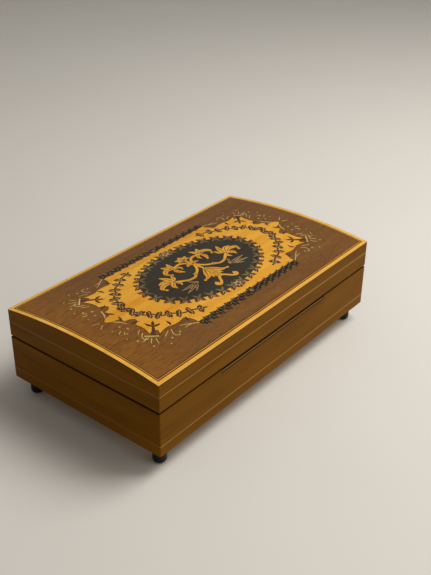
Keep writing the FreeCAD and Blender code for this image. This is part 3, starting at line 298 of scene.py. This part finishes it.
finishes = {
    "caseLong": woodFinish("lacquered hardwood along", grain="x", seam=seamPaintedShade, marks=recessMarks,
                           **caseWood),
    "caseEnds": woodFinish("lacquered hardwood across", grain="y", seam=seamPaintedShade, **caseWood),
    # sliced mahogany: red-brown with short dark pores
    "mahogany": woodFinish("mahogany veneer", "#7a5028", "#68431f", "x", 0.6, "#7d5428", glow=goldenEnd,
                           pore=openPores, tint="#dcb080", rims=fieldRims),
    # stained maple and boxwood: dense and even, deep yellow under the lacquer
    "maple": woodFinish("maple inlay", "#e4a02a", "#c8800f", "x", 0.9, "#e8ac3c"),
    "banding": woodFinish("maple banding", "#f0b042", "#d89a30", "x", 0.9, "#f4b84c", rims=bandRims),
    "stringing": woodFinish("boxwood stringing", "#a0722a", "#87591a", "x", 0.9, "#a87a32", rims=endPaintedShade),
    # dyed and painted black: the veneer keeps a warm grey, the feet are deep and shiny
    "ebonised_wood": woodFinish("ebonised veneer", "#352f23", "#29241a", "x", 1.0, "#3a3427"),
    "black_lacquer": woodFinish("black lacquer", "#0e0d0b", "#080706", "z", 0.8, "#110f0d", 0.3, 0.03),
    # bare sanded plywood: pale and dull
    "plain_wood": woodFinish("plain plywood", "#b98e57", "#9a7040", "x", 1.4, "#c39a63", 0.6, 0.0),
    # drawn and turned metals: bright, with a little tarnish
    "brass": metalFinish("bright brass", "#d9b25a", "#b98d3a", 0.22),
    "steel": metalFinish("bright steel", "#c9cbcc", "#a3a5a6", 0.2),
    "fan_foil": metalFinish("fan foil", "#dcdcdc", "#bdbdbd", 0.15),
    # woven cut pile: deep red, with a soft pale edge
    "velvet": clothFinish("red velvet", "#740e1a", "#660b15", "#a02a34"),
    # cast acrylic: clear, faintly smeared
    "clear_cover": clearFinish("clear sheet"),
    # moulded nylon: milky and even
    "nylon": woodFinish("natural nylon", "#e6e0d2", "#ddd6c6", "z", 2.0, "#e9e4d8", 0.35, 0.0),
}
slotOf = {s["node"]: s["material_slot"] for s in frame["record"]["subparts"]}
for name, node in frame["nodes"].items():
    kind = slotOf[name]
    if kind == "case_wood":
        kind = "caseEnds" if "left" in name or "right" in name else "caseLong"
    for inlay in ("stringing", "banding"):
        kind = inlay if inlay in name else kind
    node.data.materials.clear()
    node.data.materials.append(finishes[kind])
print("finishes set:", len(finishes))

# lid top in mm: z = edge + rise - radius + sqrt(radius^2 - y^2), with the radius from half width and rise
lid = {"edge": 70.5, "rise": 5.2, "veneer": 0.4}
archRadius = (box["halfY"] ** 2 + lid["rise"] ** 2) / (2 * lid["rise"])


def onLid(flat, level):
    flat = np.asarray(flat, float)
    z = lid["edge"] + lid["rise"] - archRadius + np.sqrt(archRadius ** 2 - flat[:, 1] ** 2) + level
    return np.column_stack([flat, z]) * mm


def meshPiece(name, points, faces, material, body):
    # the faces are the veneer's outer skin; its thickness lies below them, let into the lid
    data = bpy.data.meshes.new(name)
    data.from_pydata(points.tolist(), [], faces)
    data.materials.append(material)
    item = bpy.data.objects.new(name, data)
    veneer = item.modifiers.new("veneer", "SOLIDIFY")
    veneer.thickness = lid["veneer"] * mm
    veneer.offset = -1
    bpy.context.collection.objects.link(item)
    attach(item, body)
    return item


def gridFaces(rows, columns, first=0, closed=False):
    # quads of a rows by columns grid whose columns may close on themselves
    spans = columns if closed else columns - 1
    r, c = np.meshgrid(np.arange(rows - 1), np.arange(spans), indexing="ij")
    after = (c + 1) % columns
    low = r * columns
    high = low + columns
    quads = np.stack([low + c, low + after, high + after, high + c], -1)
    return (quads.reshape(-1, 4) + first).tolist()


def ellipse(long, short, angles):
    # (long cos a, short sin a)
    return np.column_stack([long * np.cos(angles), short * np.sin(angles)])


# mahogany sheet over the whole field
field = {"columns": 13, "rows": 41, "level": 0}
gx, gy = np.meshgrid(np.linspace(-box["fieldX"], box["fieldX"], field["columns"]),
                     np.linspace(-box["fieldY"], box["fieldY"], field["rows"]))
sheetPoints = onLid(np.column_stack([gx.ravel(), gy.ravel()]), field["level"])
fieldPiece = meshPiece("marquetry_field", sheetPoints, gridFaces(field["rows"], field["columns"]),
                       finishes["mahogany"], "lid")
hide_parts("lid_veneer")

# cartouche: corners of one quarter, each with the bow of the span after it as a share of its chord
yellow = {"corners": ((57, 45, -0.12), (61, 35, 0.1), (76, 34.3, -0.05), (87.5, 37, -0.1), (83.5, 32, -0.1),
                      (90.5, 31, -0.1), (89, 17, -0.12), (84, 13, -0.15), (91, 9.5, -0.15), (92.5, 4, 0.15)),
          "tip": (100.5, 0.0), "steps": 6, "rings": 12, "underlap": 0.97, "level": 0.02}
oval = {"long": 56.0, "short": 35.0, "steps": 120, "rings": 14, "level": 0.035}


def cartoucheOutline():
    # each span is its chord plus bow 4 t (1 - t) across it; the long sides are straight
    steps = yellow["steps"]
    t = np.linspace(0, 1, steps, endpoint=False)[:, None]
    stops = np.array([corner[:2] for corner in yellow["corners"]] + [yellow["tip"]])
    bows = [corner[2] for corner in yellow["corners"]]
    spans = []
    for a, b, bow in zip(stops, stops[1:], bows):
        outwards = np.array([a[1] - b[1], b[0] - a[0]])
        spans.append(a + (b - a) * t + outwards * bow * 4 * t * (1 - t))
    corner = np.concatenate(spans)
    half = np.concatenate([corner, [yellow["tip"]], corner[::-1] * (1, -1)])
    startX, startY = stops[0]
    straight = np.linspace(-startX, startX, 8 * steps)[1:-1, None] * (1, 0)
    return np.concatenate([half, straight[::-1] + (0, -startY), -half, straight + (0, startY)])


# straight lines from just inside the oval to the outline, in even steps
outline = cartoucheOutline()
bearing = np.arctan2(outline[:, 1] / oval["short"], outline[:, 0] / oval["long"])
core = ellipse(oval["long"], oval["short"], bearing) * yellow["underlap"]
shares = np.linspace(0, 1, yellow["rings"])[:, None, None]
ringPoints = (core + (outline - core) * shares).reshape(-1, 2)
cartouche = meshPiece("marquetry_cartouche", onLid(ringPoints, yellow["level"]),
                      gridFaces(yellow["rings"], len(outline), closed=True), finishes["maple"], "lid")
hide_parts("lid_cartouche")

# medallion: the oval in even rings round one middle point, counted clockwise so that faces look up
around = np.linspace(2 * np.pi, 0, oval["steps"], endpoint=False)
rings = ellipse(oval["long"], oval["short"], around) * np.linspace(0, 1, oval["rings"] + 1)[1:, None, None]
ovalPoints = np.vstack([[[0, 0]], rings.reshape(-1, 2)])
middle = [[0, k % oval["steps"] + 1, k] for k in range(1, oval["steps"] + 1)]
middle += gridFaces(oval["rings"], oval["steps"], 1, True)
medallion = meshPiece("marquetry_medallion", onLid(ovalPoints, oval["level"]), middle,
                      finishes["ebonised_wood"], "lid")
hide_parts("lid_medallion")
print("ground veneers laid")


# ornament layers hold flat points and faces; strokes are ribbons, flowers are fans
def newLayer():
    return {"points": [], "faces": [], "count": 0}


def addShape(layer, points, faces):
    layer["points"].append(points)
    layer["faces"] += [[k + layer["count"] for k in face] for face in faces]
    layer["count"] += len(points)


def ribbon(layer, path, halfWidth):
    # the path moved to both sides, across its own direction, by the half width
    path = np.asarray(path, float)
    run = np.gradient(path, axis=0)
    run /= np.linalg.norm(run, axis=1)[:, None] + 1e-9  # no division by zero on doubled points
    side = np.column_stack([-run[:, 1], run[:, 0]]) * np.broadcast_to(halfWidth, len(path))[:, None]
    count = len(path)
    addShape(layer, np.concatenate([path - side, path + side]),
             [[k, k + 1, count + k + 1, count + k] for k in range(count - 1)])


def flower(layer, x, y, radius, petals=5, depth=0.25, turn=0.0):
    # r = radius (1 + depth cos(petals (a - turn))) / (1 + depth) about the middle
    a = np.linspace(0, 2 * np.pi, 8 * petals, endpoint=False)
    r = radius * (1 + depth * np.cos(petals * (a - turn))) / (1 + depth)
    points = np.vstack([[[x, y]], np.column_stack([x + r * np.cos(a), y + r * np.sin(a)])])
    addShape(layer, points, [[0, k, k % len(a) + 1] for k in range(1, len(a) + 1)])


def curve(x, y, heading, length, turnIn, turnOut, count=24):
    # heading changes at a rate that goes evenly from turnIn to turnOut radians over the length
    t = np.linspace(0, 1, count)
    angle = heading + turnIn * t + 0.5 * (turnOut - turnIn) * t ** 2
    step = np.column_stack([np.cos(angle), np.sin(angle)]) * length / (count - 1)
    return np.array([[x, y]]) + np.vstack([[[0, 0]], np.cumsum(step[:-1], axis=0)])


def through(points, count=10):
    # Catmull-Rom curve through the points, with the end points doubled
    p = np.array([points[0]] + list(points) + [points[-1]], float)
    t = np.linspace(0, 1, count, endpoint=False)[:, None]
    spans = []
    for a, b, c, d in zip(p, p[1:], p[2:], p[3:]):
        square = 2 * a - 5 * b + 4 * c - d
        cube = 3 * b - a - 3 * c + d
        spans.append(0.5 * (2 * b + (c - a) * t + square * t ** 2 + cube * t ** 3))
    return np.concatenate(spans + [p[-1:]])


def bladeWidth(count, width):
    # half width follows sin(pi t^0.8), pointed at both ends
    return 0.5 * width * np.sin(np.pi * np.linspace(0, 1, count) ** 0.8) + 0.02


def leaf(layer, x, y, heading, length, width, bend=0.0, count=12):
    # blade along an even bend
    ribbon(layer, curve(x, y, heading, length, bend, bend, count), bladeWidth(count, width))


def taper(first, last, count=24):
    # half width goes evenly from first to last, and drops off over the last sixth
    t = np.linspace(0, 1, count)
    return (first + (last - first) * t) * np.minimum(1, 6 * (1 - t) + 0.15)


def sprig(layer, x, y, heading, size, spread, stout):
    # one leaf between two smaller ones that bend back to it
    leaf(layer, x, y, heading, size, stout * size)
    for sign in (-1, 1):
        leaf(layer, x, y, heading + sign * spread, 0.8 * size, 0.85 * stout * size, -0.5 * sign)


def mirrored(draw, layer, both):
    # draws a half's or a quarter's shapes, and again mirrored in X or in X and Y
    start, faceStart, countStart = len(layer["points"]), len(layer["faces"]), layer["count"]
    draw(layer)
    shapes = np.concatenate(layer["points"][start:])
    faces = [[k - countStart for k in face] for face in layer["faces"][faceStart:]]
    for signs in [(-1, 1)] + ([(1, -1), (-1, -1)] if both else []):
        order = signs[0] * signs[1]  # one mirror turns the faces over, so their corners run the other way
        addShape(layer, shapes * signs, [face[::order] for face in faces])


def layerPiece(name, layer, level, material):
    piece = meshPiece(name, onLid(np.concatenate(layer["points"]), level), layer["faces"], material, "lid")
    return piece


# dyed and sand-shaded veneers: flat tones with a fine grain
inlayTones = {
    "vine": woodFinish("black stained inlay", "#221a10", "#150f08", "x", 0.8),
    "vein": woodFinish("grey shaded inlay", "#857550", "#5c5032", "x", 0.8),
    "bark": woodFinish("brown shaded inlay", "#52301a", "#371d0e", "x", 0.8, "#5e381c"),
    "tan": woodFinish("olive shaded inlay", "#705a32", "#51401f", "x", 0.8, "#7e683c"),
    "cream": woodFinish("cream shaded inlay", "#b8965e", "#98763f", "x", 0.8, "#c6a770"),
    "gold": woodFinish("golden boxwood inlay", "#dc9c30", "#c3841f", "x", 0.8, "#e4a83e"),
    "pale": woodFinish("pale boxwood line", "#c9ab62", "#ae8f48", "x", 0.8, "#d6bb74"),
}

# black leaf borders along both long sides, over the yellow's straight edge
border = {"y": 47.2, "half": 54.5, "stem": 0.95, "points": 160, "wave": 0.7, "waveRate": 0.805,
          "first": 6.5, "step": 7.8, "count": 7, "lean": 0.45, "spread": 0.95, "stout": 0.47,
          "sprigs": ((1, 0.0, 5.4), (-1, 3.6, 4.6)),  # side, shift along the stem, size
          "vein": (3.4, 0.5), "budShift": 1.8, "level": 0.05, "veinLevel": 0.07}
vineLayer, veinLayer = newLayer(), newLayer()
for sign in (-1, 1):
    stemY = sign * border["y"]
    xs = np.linspace(-border["half"], border["half"], border["points"])
    stem = sign * (border["y"] + border["wave"] * np.sin(xs * border["waveRate"]))
    ribbon(vineLayer, np.column_stack([xs, stem]), border["stem"])
    for flip in (-1, 1):
        for k in range(border["count"]):
            x = flip * (border["step"] * k + border["first"])
            for side, shift, size in border["sprigs"]:
                root = x + flip * shift
                if abs(root) > border["half"]:
                    continue
                heading = sign * side * (0.5 * math.pi - border["lean"] * side * flip * sign)
                sprig(vineLayer, root, stemY, heading, size, border["spread"], border["stout"])
                leaf(veinLayer, root, stemY, heading, *border["vein"])
            bud = x + flip * border["budShift"]
            flower(vineLayer, bud, stemY, 2.3, 5, 0.2)
            flower(veinLayer, bud, stemY, 0.8, 5, 0.4)
    flower(vineLayer, 0, stemY, 4.4, 6, 0.2)
    flower(veinLayer, 0, stemY, 2.4, 6, 0.5)
    flower(vineLayer, 0, stemY, 1.0, 6, 0.1)
layerPiece("marquetry_vines", vineLayer, border["level"], inlayTones["vine"])
layerPiece("marquetry_vine_veins", veinLayer, border["veinLevel"], inlayTones["vein"])

# brown garlands in the yellow, on waved arcs of an ellipse at both ends; leaves are turn, length, width, bend
garland = {"long": 79.5, "short": 43.0, "from": 119, "to": 241, "points": 140, "stem": 0.7, "wave": 0.9,
           "waveRate": 26, "waveShort": 0.7, "count": 17, "ahead": (1.15, 5.2, 2.8, 0.9),
           "behind": (1.0, 4.2, 2.3, 0.7), "light": (1.15, 4.0, 0.7, 0.9)}
barkLayer, tanLayer, creamLayer, heartLayer = newLayer(), newLayer(), newLayer(), newLayer()


def leafPair(layer, x, y, heading, form):
    # one leaf to each side of the heading
    turn, length, width, bend = form
    for side in (-1, 1):
        leaf(layer, x, y, heading + side * turn, length, width, side * bend)


for flip in (1, -1):
    angles = np.radians(np.linspace(garland["from"], garland["to"], garland["points"]))
    path = ellipse(garland["long"], garland["short"], angles)
    swing = np.sin(angles * garland["waveRate"])[:, None] * garland["wave"]
    path += ellipse(1, garland["waveShort"], angles) * swing
    path[:, 0] *= flip
    ribbon(barkLayer, path, garland["stem"])
    last = garland["points"] - 1
    for k in range(garland["count"]):
        index = int((k + 0.5) / garland["count"] * last)
        x, y = path[index]
        run = path[min(index + 1, last)] - path[index - 1]
        heading = math.atan2(run[1], run[0])
        leafPair(barkLayer, x, y, heading, garland["ahead"])
        leafPair(barkLayer, x, y, heading + math.pi, garland["behind"])
        if k % 3 == 1:  # every third place is a flower
            flower(barkLayer, x, y, 3.0, 5, 0.2)
            flower(creamLayer, x, y, 2.1, 5, 0.35)
            flower(heartLayer, x, y, 1.1, 5, 0.1)
        else:
            leafPair(creamLayer, x, y, heading, garland["light"])

# wreath round the oval, evenly along its length: brown leaves out on the yellow, olive leaves in on the black
wreath = {"count": 28, "points": 400, "out": (0.5, 6.2, 2.2, 0.9), "low": (1.4, 4.8, 2.4, -0.8),
          "light": (0.5, 3.8, 0.55, 0.7), "in": (0.42, 6.4, 1.9, 0.5)}
ringAngles = np.linspace(0, 2 * np.pi, wreath["points"])
ringPath = ellipse(oval["long"], oval["short"], ringAngles)
travel = np.concatenate([[0], np.cumsum(np.linalg.norm(np.diff(ringPath, axis=0), axis=1))])
for k in range(wreath["count"]):
    angle = np.interp((k + 0.5) / wreath["count"] * travel[-1], travel, ringAngles)
    x, y = ellipse(oval["long"], oval["short"], np.array([angle]))[0]
    outward = math.atan2(math.sin(angle) / oval["short"], math.cos(angle) / oval["long"])
    leafPair(barkLayer, x, y, outward, wreath["out"])
    leafPair(barkLayer, x, y, outward, wreath["low"])
    leafPair(creamLayer, x, y, outward, wreath["light"])
    leafPair(tanLayer, x, y, outward + math.pi, wreath["in"])
    flower(tanLayer, x, y, 1.5, 5, 0.3, angle)
    flower(heartLayer, x, y, 0.7, 5, 0.1, angle)
for sign in (-1, 1):
    flower(barkLayer, 0, sign * oval["short"], 5.2, 7, 0.25)
    flower(creamLayer, 0, sign * oval["short"], 3.6, 6, 0.35)
    flower(heartLayer, 0, sign * oval["short"], 1.7, 6, 0.2)

# thin dark line round the cartouche, wedges in its forked corners, and leaves that cut in from its edge
trim = {"line": 0.26, "wedge": ((89.8, 34.4), (86.0, 30.6), (81.6, 26.4)), "wedgeWidth": (1.7, 0.8),
        # x, y, heading, length, width, bend
        "head": ((82.4, 27.0, 2.75, 6.4, 2.1, 0.5), (82.4, 27.0, -1.15, 7.0, 2.1, -0.5),
                 (82.0, 26.6, -2.35, 6.0, 2.2, 0.0)),
        "hooks": ((60.4, 40.1, -1.55, 6.0, 1.8, -0.8), (73.2, 34.6, -2.2, 6.5, 1.8, 0.9),
                  (90.2, 14.4, 3.2, 7.0, 1.8, -0.8), (92.0, 7.0, -2.4, 6.5, 1.8, 0.8)),
        "level": 0.055}
ribbon(barkLayer, np.vstack([outline, outline[:1]]), trim["line"])


def cornerTrim(layer):
    wedge = through(trim["wedge"])
    ribbon(layer, wedge, taper(*trim["wedgeWidth"], len(wedge)))
    for form in trim["head"] + trim["hooks"]:
        leaf(layer, *form)


mirrored(cornerTrim, barkLayer, True)
layerPiece("marquetry_brown", barkLayer, trim["level"], inlayTones["bark"])

# golden scrolls in the oval, drawn for the right half: points with the widest width of each blade
blades = (
    (((0, 15), (0.9, 19), (0.1, 23)), 2.6), (((0.5, 15.5), (2.8, 18.6), (6.0, 20.6)), 2.4),
    (((0.5, 15.8), (3.8, 17.0), (5.8, 15.8)), 1.7), (((0.5, 7.5), (3.6, 8.8), (6.4, 7.0)), 2.1),
    (((14.5, 13.5), (14.6, 18), (12.6, 23)), 2.8), (((15.5, 14), (18.2, 18), (20.4, 22)), 2.8),
    (((15.5, 13.5), (21, 15.6), (25, 12), (23, 7.8)), 2.9), (((15.5, 13), (16, 8.5), (13.0, 3.4)), 2.6),
    (((14, 13.5), (10.6, 11), (11.2, 7.4)), 1.9), (((30, 0.5), (30.6, 6.5), (33.2, 12.5)), 3.3),
    (((31, 0.5), (35.5, 5.2), (41, 5.0)), 2.8), (((31, 0), (37.5, 2.2), (42.8, 0.0), (41.8, -3.8)), 2.8),
    (((30.5, -0.5), (34.4, -3.4), (34.4, -7.8)), 2.6), (((29.5, -0.5), (27.8, -4), (29.2, -7.4)), 2.0),
    (((29, 1), (26, 4.4), (25.2, 8.4)), 2.2), (((0.3, -3), (4.4, -9), (7.6, -13.4), (13, -15.2)), 3.4),
    (((0.3, -8), (3.2, -12.5), (5.2, -17.4)), 2.6), (((0.2, -11), (1.6, -15.5), (0.1, -20)), 2.8),
)
# points with the first and last half width of each arm
arms = (
    (((0.8, 8), (3.4, 12.4), (7.6, 15), (12, 14.4), (15.5, 12.6)), 0.95, 0.9),
    (((0.6, 6), (3, 1.5), (6.5, -2), (10.5, -4)), 0.9, 0.85),
    (((10.5, -4), (14.5, -6.8), (20.5, -6.2), (26, -2.8), (30, 0)), 0.85, 1.0),
    (((0.5, -17.5), (3.5, -21), (6.5, -25), (9.6, -26.6), (11.6, -24.8), (10.3, -22.9), (9, -24)), 1.0, 0.75),
)
scroll = {"bladeSwell": 1.32, "armSwell": 1.15, "shade": 0.34, "curl": 1.2, "line": 0.13,
          "knots": ((10.5, -4, 1.9, 5, 0.2), (9.6, -24.3, 1.3, 6, 0.1)),  # x, y, radius, petals, depth
          "knotLine": (10.5, -4, 0.7, 5, 0.2),
          "spine": ((0, 16.0), (0, 8), (0, 0), (0, -9), (0, -17.0)), "spineShade": 1.3, "spineWidth": 0.95,
          "shadeLevel": 0.06, "level": 0.075, "lineLevel": 0.09}
shadeLayer, goldLayer, lineLayer = newLayer(), newLayer(), newLayer()


def scrolls(layer, grow):
    for points, width in blades:
        path = through(points)
        ribbon(layer, path, bladeWidth(len(path), scroll["bladeSwell"] * width) + grow)
        if len(points) > 3:
            flower(layer, *points[-1], scroll["curl"] + grow, 6, 0.08)  # the curled end of a long blade
    for points, first, last in arms:
        path = through(points)
        ribbon(layer, path, taper(scroll["armSwell"] * first, scroll["armSwell"] * last, len(path)) + grow)
    for x, y, radius, petals, depth in scroll["knots"]:
        flower(layer, x, y, radius + grow, petals, depth)


def scrollLines(layer):
    # one engraved line down the middle of each blade, short of both ends
    for points, width in blades:
        path = through(points)[3:-5]
        ribbon(layer, path, scroll["line"] * width * np.linspace(1, 0.2, len(path)))
    flower(layer, *scroll["knotLine"])


mirrored(lambda layer: scrolls(layer, scroll["shade"]), shadeLayer, False)
mirrored(lambda layer: scrolls(layer, 0.0), goldLayer, False)
mirrored(scrollLines, lineLayer, False)
ribbon(shadeLayer, scroll["spine"], scroll["spineShade"])
ribbon(goldLayer, scroll["spine"], scroll["spineWidth"])
flower(goldLayer, 0, 7.5, 2.6, 6, 0.25)
flower(goldLayer, 0, -17.5, 2.0, 5, 0.25)
flower(lineLayer, 0, 7.5, 1.0, 6, 0.3)
layerPiece("marquetry_scroll_shade", shadeLayer, scroll["shadeLevel"], inlayTones["bark"])
layerPiece("marquetry_scrolls", goldLayer, scroll["level"], inlayTones["gold"])
layerPiece("marquetry_scroll_lines", lineLayer, scroll["lineLevel"], inlayTones["bark"])

# feathered sprigs under the lower arms: brown shade, cream blade and brown heart, each inside the last
feathers = {"root": (19.5, -12.5), "bend": 0.15,
            "blades": ((-0.05, 17.0, 3.2), (-0.38, 17.5, 3.2), (-0.75, 12.0, 3.0), (0.95, 7.5, 2.6)),
            "shade": (1.0, 1.0), "cream": (0.66, 0.96), "heart": (0.3, 0.86)}  # shares of width and length
leafLevels = {"wings": 0.06, "olive": 0.07, "cream": 0.08, "hearts": 0.09}
wingLayer = newLayer()


def wings(layer, share, reach):
    for heading, length, width in feathers["blades"]:
        leaf(layer, *feathers["root"], heading, reach * length, share * width, feathers["bend"])


mirrored(lambda layer: wings(layer, *feathers["shade"]), wingLayer, False)
mirrored(lambda layer: wings(layer, *feathers["cream"]), creamLayer, False)
mirrored(lambda layer: wings(layer, *feathers["heart"]), heartLayer, False)
for side in (-1, 1):
    flower(creamLayer, side * feathers["root"][0], feathers["root"][1], 1.7, 5, 0.3)
layerPiece("marquetry_wings", wingLayer, leafLevels["wings"], inlayTones["bark"])
layerPiece("marquetry_olive", tanLayer, leafLevels["olive"], inlayTones["tan"])
layerPiece("marquetry_cream", creamLayer, leafLevels["cream"], inlayTones["cream"])
layerPiece("marquetry_hearts", heartLayer, leafLevels["hearts"], inlayTones["bark"])

# pale filigree outside the cartouche
pale = {
    # x, y, heading, length, first and last turn
    "curls": ((57.5, 46.2, -0.85, 12, 1.6, 0.2), (60.5, 44.4, -0.75, 11, 0.5, 0.3),
              (76.5, 37.8, 1.0, 12, -1.2, 9.0), (79.5, 37.6, 0.5, 7, -0.3, 0.1),
              (91.0, 37.6, 0.95, 5.5, 0.3, 0.3), (92.8, 35.2, 0.7, 6.0, 0.0, 0.0),
              (94.6, 32.6, 0.45, 5.5, -0.3, -0.3), (92.6, 27.0, 0.7, 12, -1.4, 9.0),
              (91.6, 23.5, 0.4, 6, 0.4, 0.2), (99.6, 17.6, 0.75, 4, 0.2, 0.2),
              (101.0, 15.4, 0.4, 4, 0.2, 0.2), (103.2, 1.4, 0.45, 6, 0.2, 0.2)),
    "curlWidth": (0.3, 0.22), "points": 36,
    "edge": ((97.4, 2.4), (94.0, 6.6), (91.4, 12.6)), "edgeWidth": (0.5, 0.4),
    "bar": ((87.4, 37.2), (94.6, 30.6)), "barWidth": 0.55,
    # x, y, radius
    "berries": ((97.9, 11.3, 0.9), (100.2, 20.6, 0.8), (95.6, 16.6, 1.0), (104.4, 11.2, 0.7),
                (74.0, 43.5, 0.8), (83.0, 44.5, 0.9), (98.0, 42.0, 0.8), (101.5, 31.0, 0.9),
                (88.0, 48.0, 0.7), (104.5, 24.5, 0.7)),
    "level": 0.05,
}
paleLayer = newLayer()


def filigree(layer):
    for curl in pale["curls"]:
        ribbon(layer, curve(*curl, pale["points"]), taper(*pale["curlWidth"], pale["points"]))
    edge = through(pale["edge"])
    ribbon(layer, edge, taper(*pale["edgeWidth"], len(edge)))
    ribbon(layer, pale["bar"], pale["barWidth"])
    for x, y, radius in pale["berries"]:
        flower(layer, x, y, radius, 3, 0.4, x)  # turned by its place, so that no two look alike


mirrored(filigree, paleLayer, True)
layerPiece("marquetry_filigree", paleLayer, pale["level"], inlayTones["pale"])
print("marquetry laid")

# plain pale floor and soft light, in metres and watts
stage = {"floor": "#dcd6cb", "floorPatch": "#e0dad0", "patch": (160, 160, 160), "half": 3.0,
         "world": "#e9e7e2", "strength": 0.3, "aim": (0, 0, 0.04),
         "lamps": (("key", (0.5, -0.4, 1.05), 0.7, 12.0), ("fill", (0.5, -1.3, 0.6), 1.0, 3.4))}


def setStage():
    # matt painted board: pale and almost even
    material, tree, shader = newFinish("pale floor", Roughness=0.75)
    cloud = addNode(tree, "TexNoise", {"Vector": scaledCoords(tree, stage["patch"]), "Scale": 1.0,
                                       "Detail": 3.0})
    tone = addNode(tree, "Mix", {0: cloud, 6: hexColour(stage["floor"]), 7: hexColour(stage["floorPatch"])},
                   data_type="RGBA")
    tree.links.new(tone.outputs[2], shader.inputs["Base Color"])
    h = stage["half"]
    data = bpy.data.meshes.new("floor")
    data.from_pydata([(-h, -h, 0), (h, -h, 0), (h, h, 0), (-h, h, 0)], [], [(0, 1, 2, 3)])
    data.materials.append(material)
    floor = bpy.data.objects.new("floor", data)
    bpy.context.collection.objects.link(floor)
    world = bpy.data.worlds.new("studio")
    world.use_nodes = True
    background = world.node_tree.nodes["Background"].inputs
    background["Color"].default_value = hexColour(stage["world"])
    background["Strength"].default_value = stage["strength"]
    bpy.context.scene.world = world
    for name, place, size, power in stage["lamps"]:
        lamp = bpy.data.lights.new(name, "AREA")
        lamp.energy = power
        lamp.size = size
        item = bpy.data.objects.new(name, lamp)
        item.location = place
        toward = Vector(stage["aim"]) - item.location
        item.rotation_euler = toward.to_track_quat("-Z", "Y").to_euler()
        bpy.context.collection.objects.link(item)


setStage()
bpy.context.scene.view_settings.view_transform = "Standard"
print("stage set")
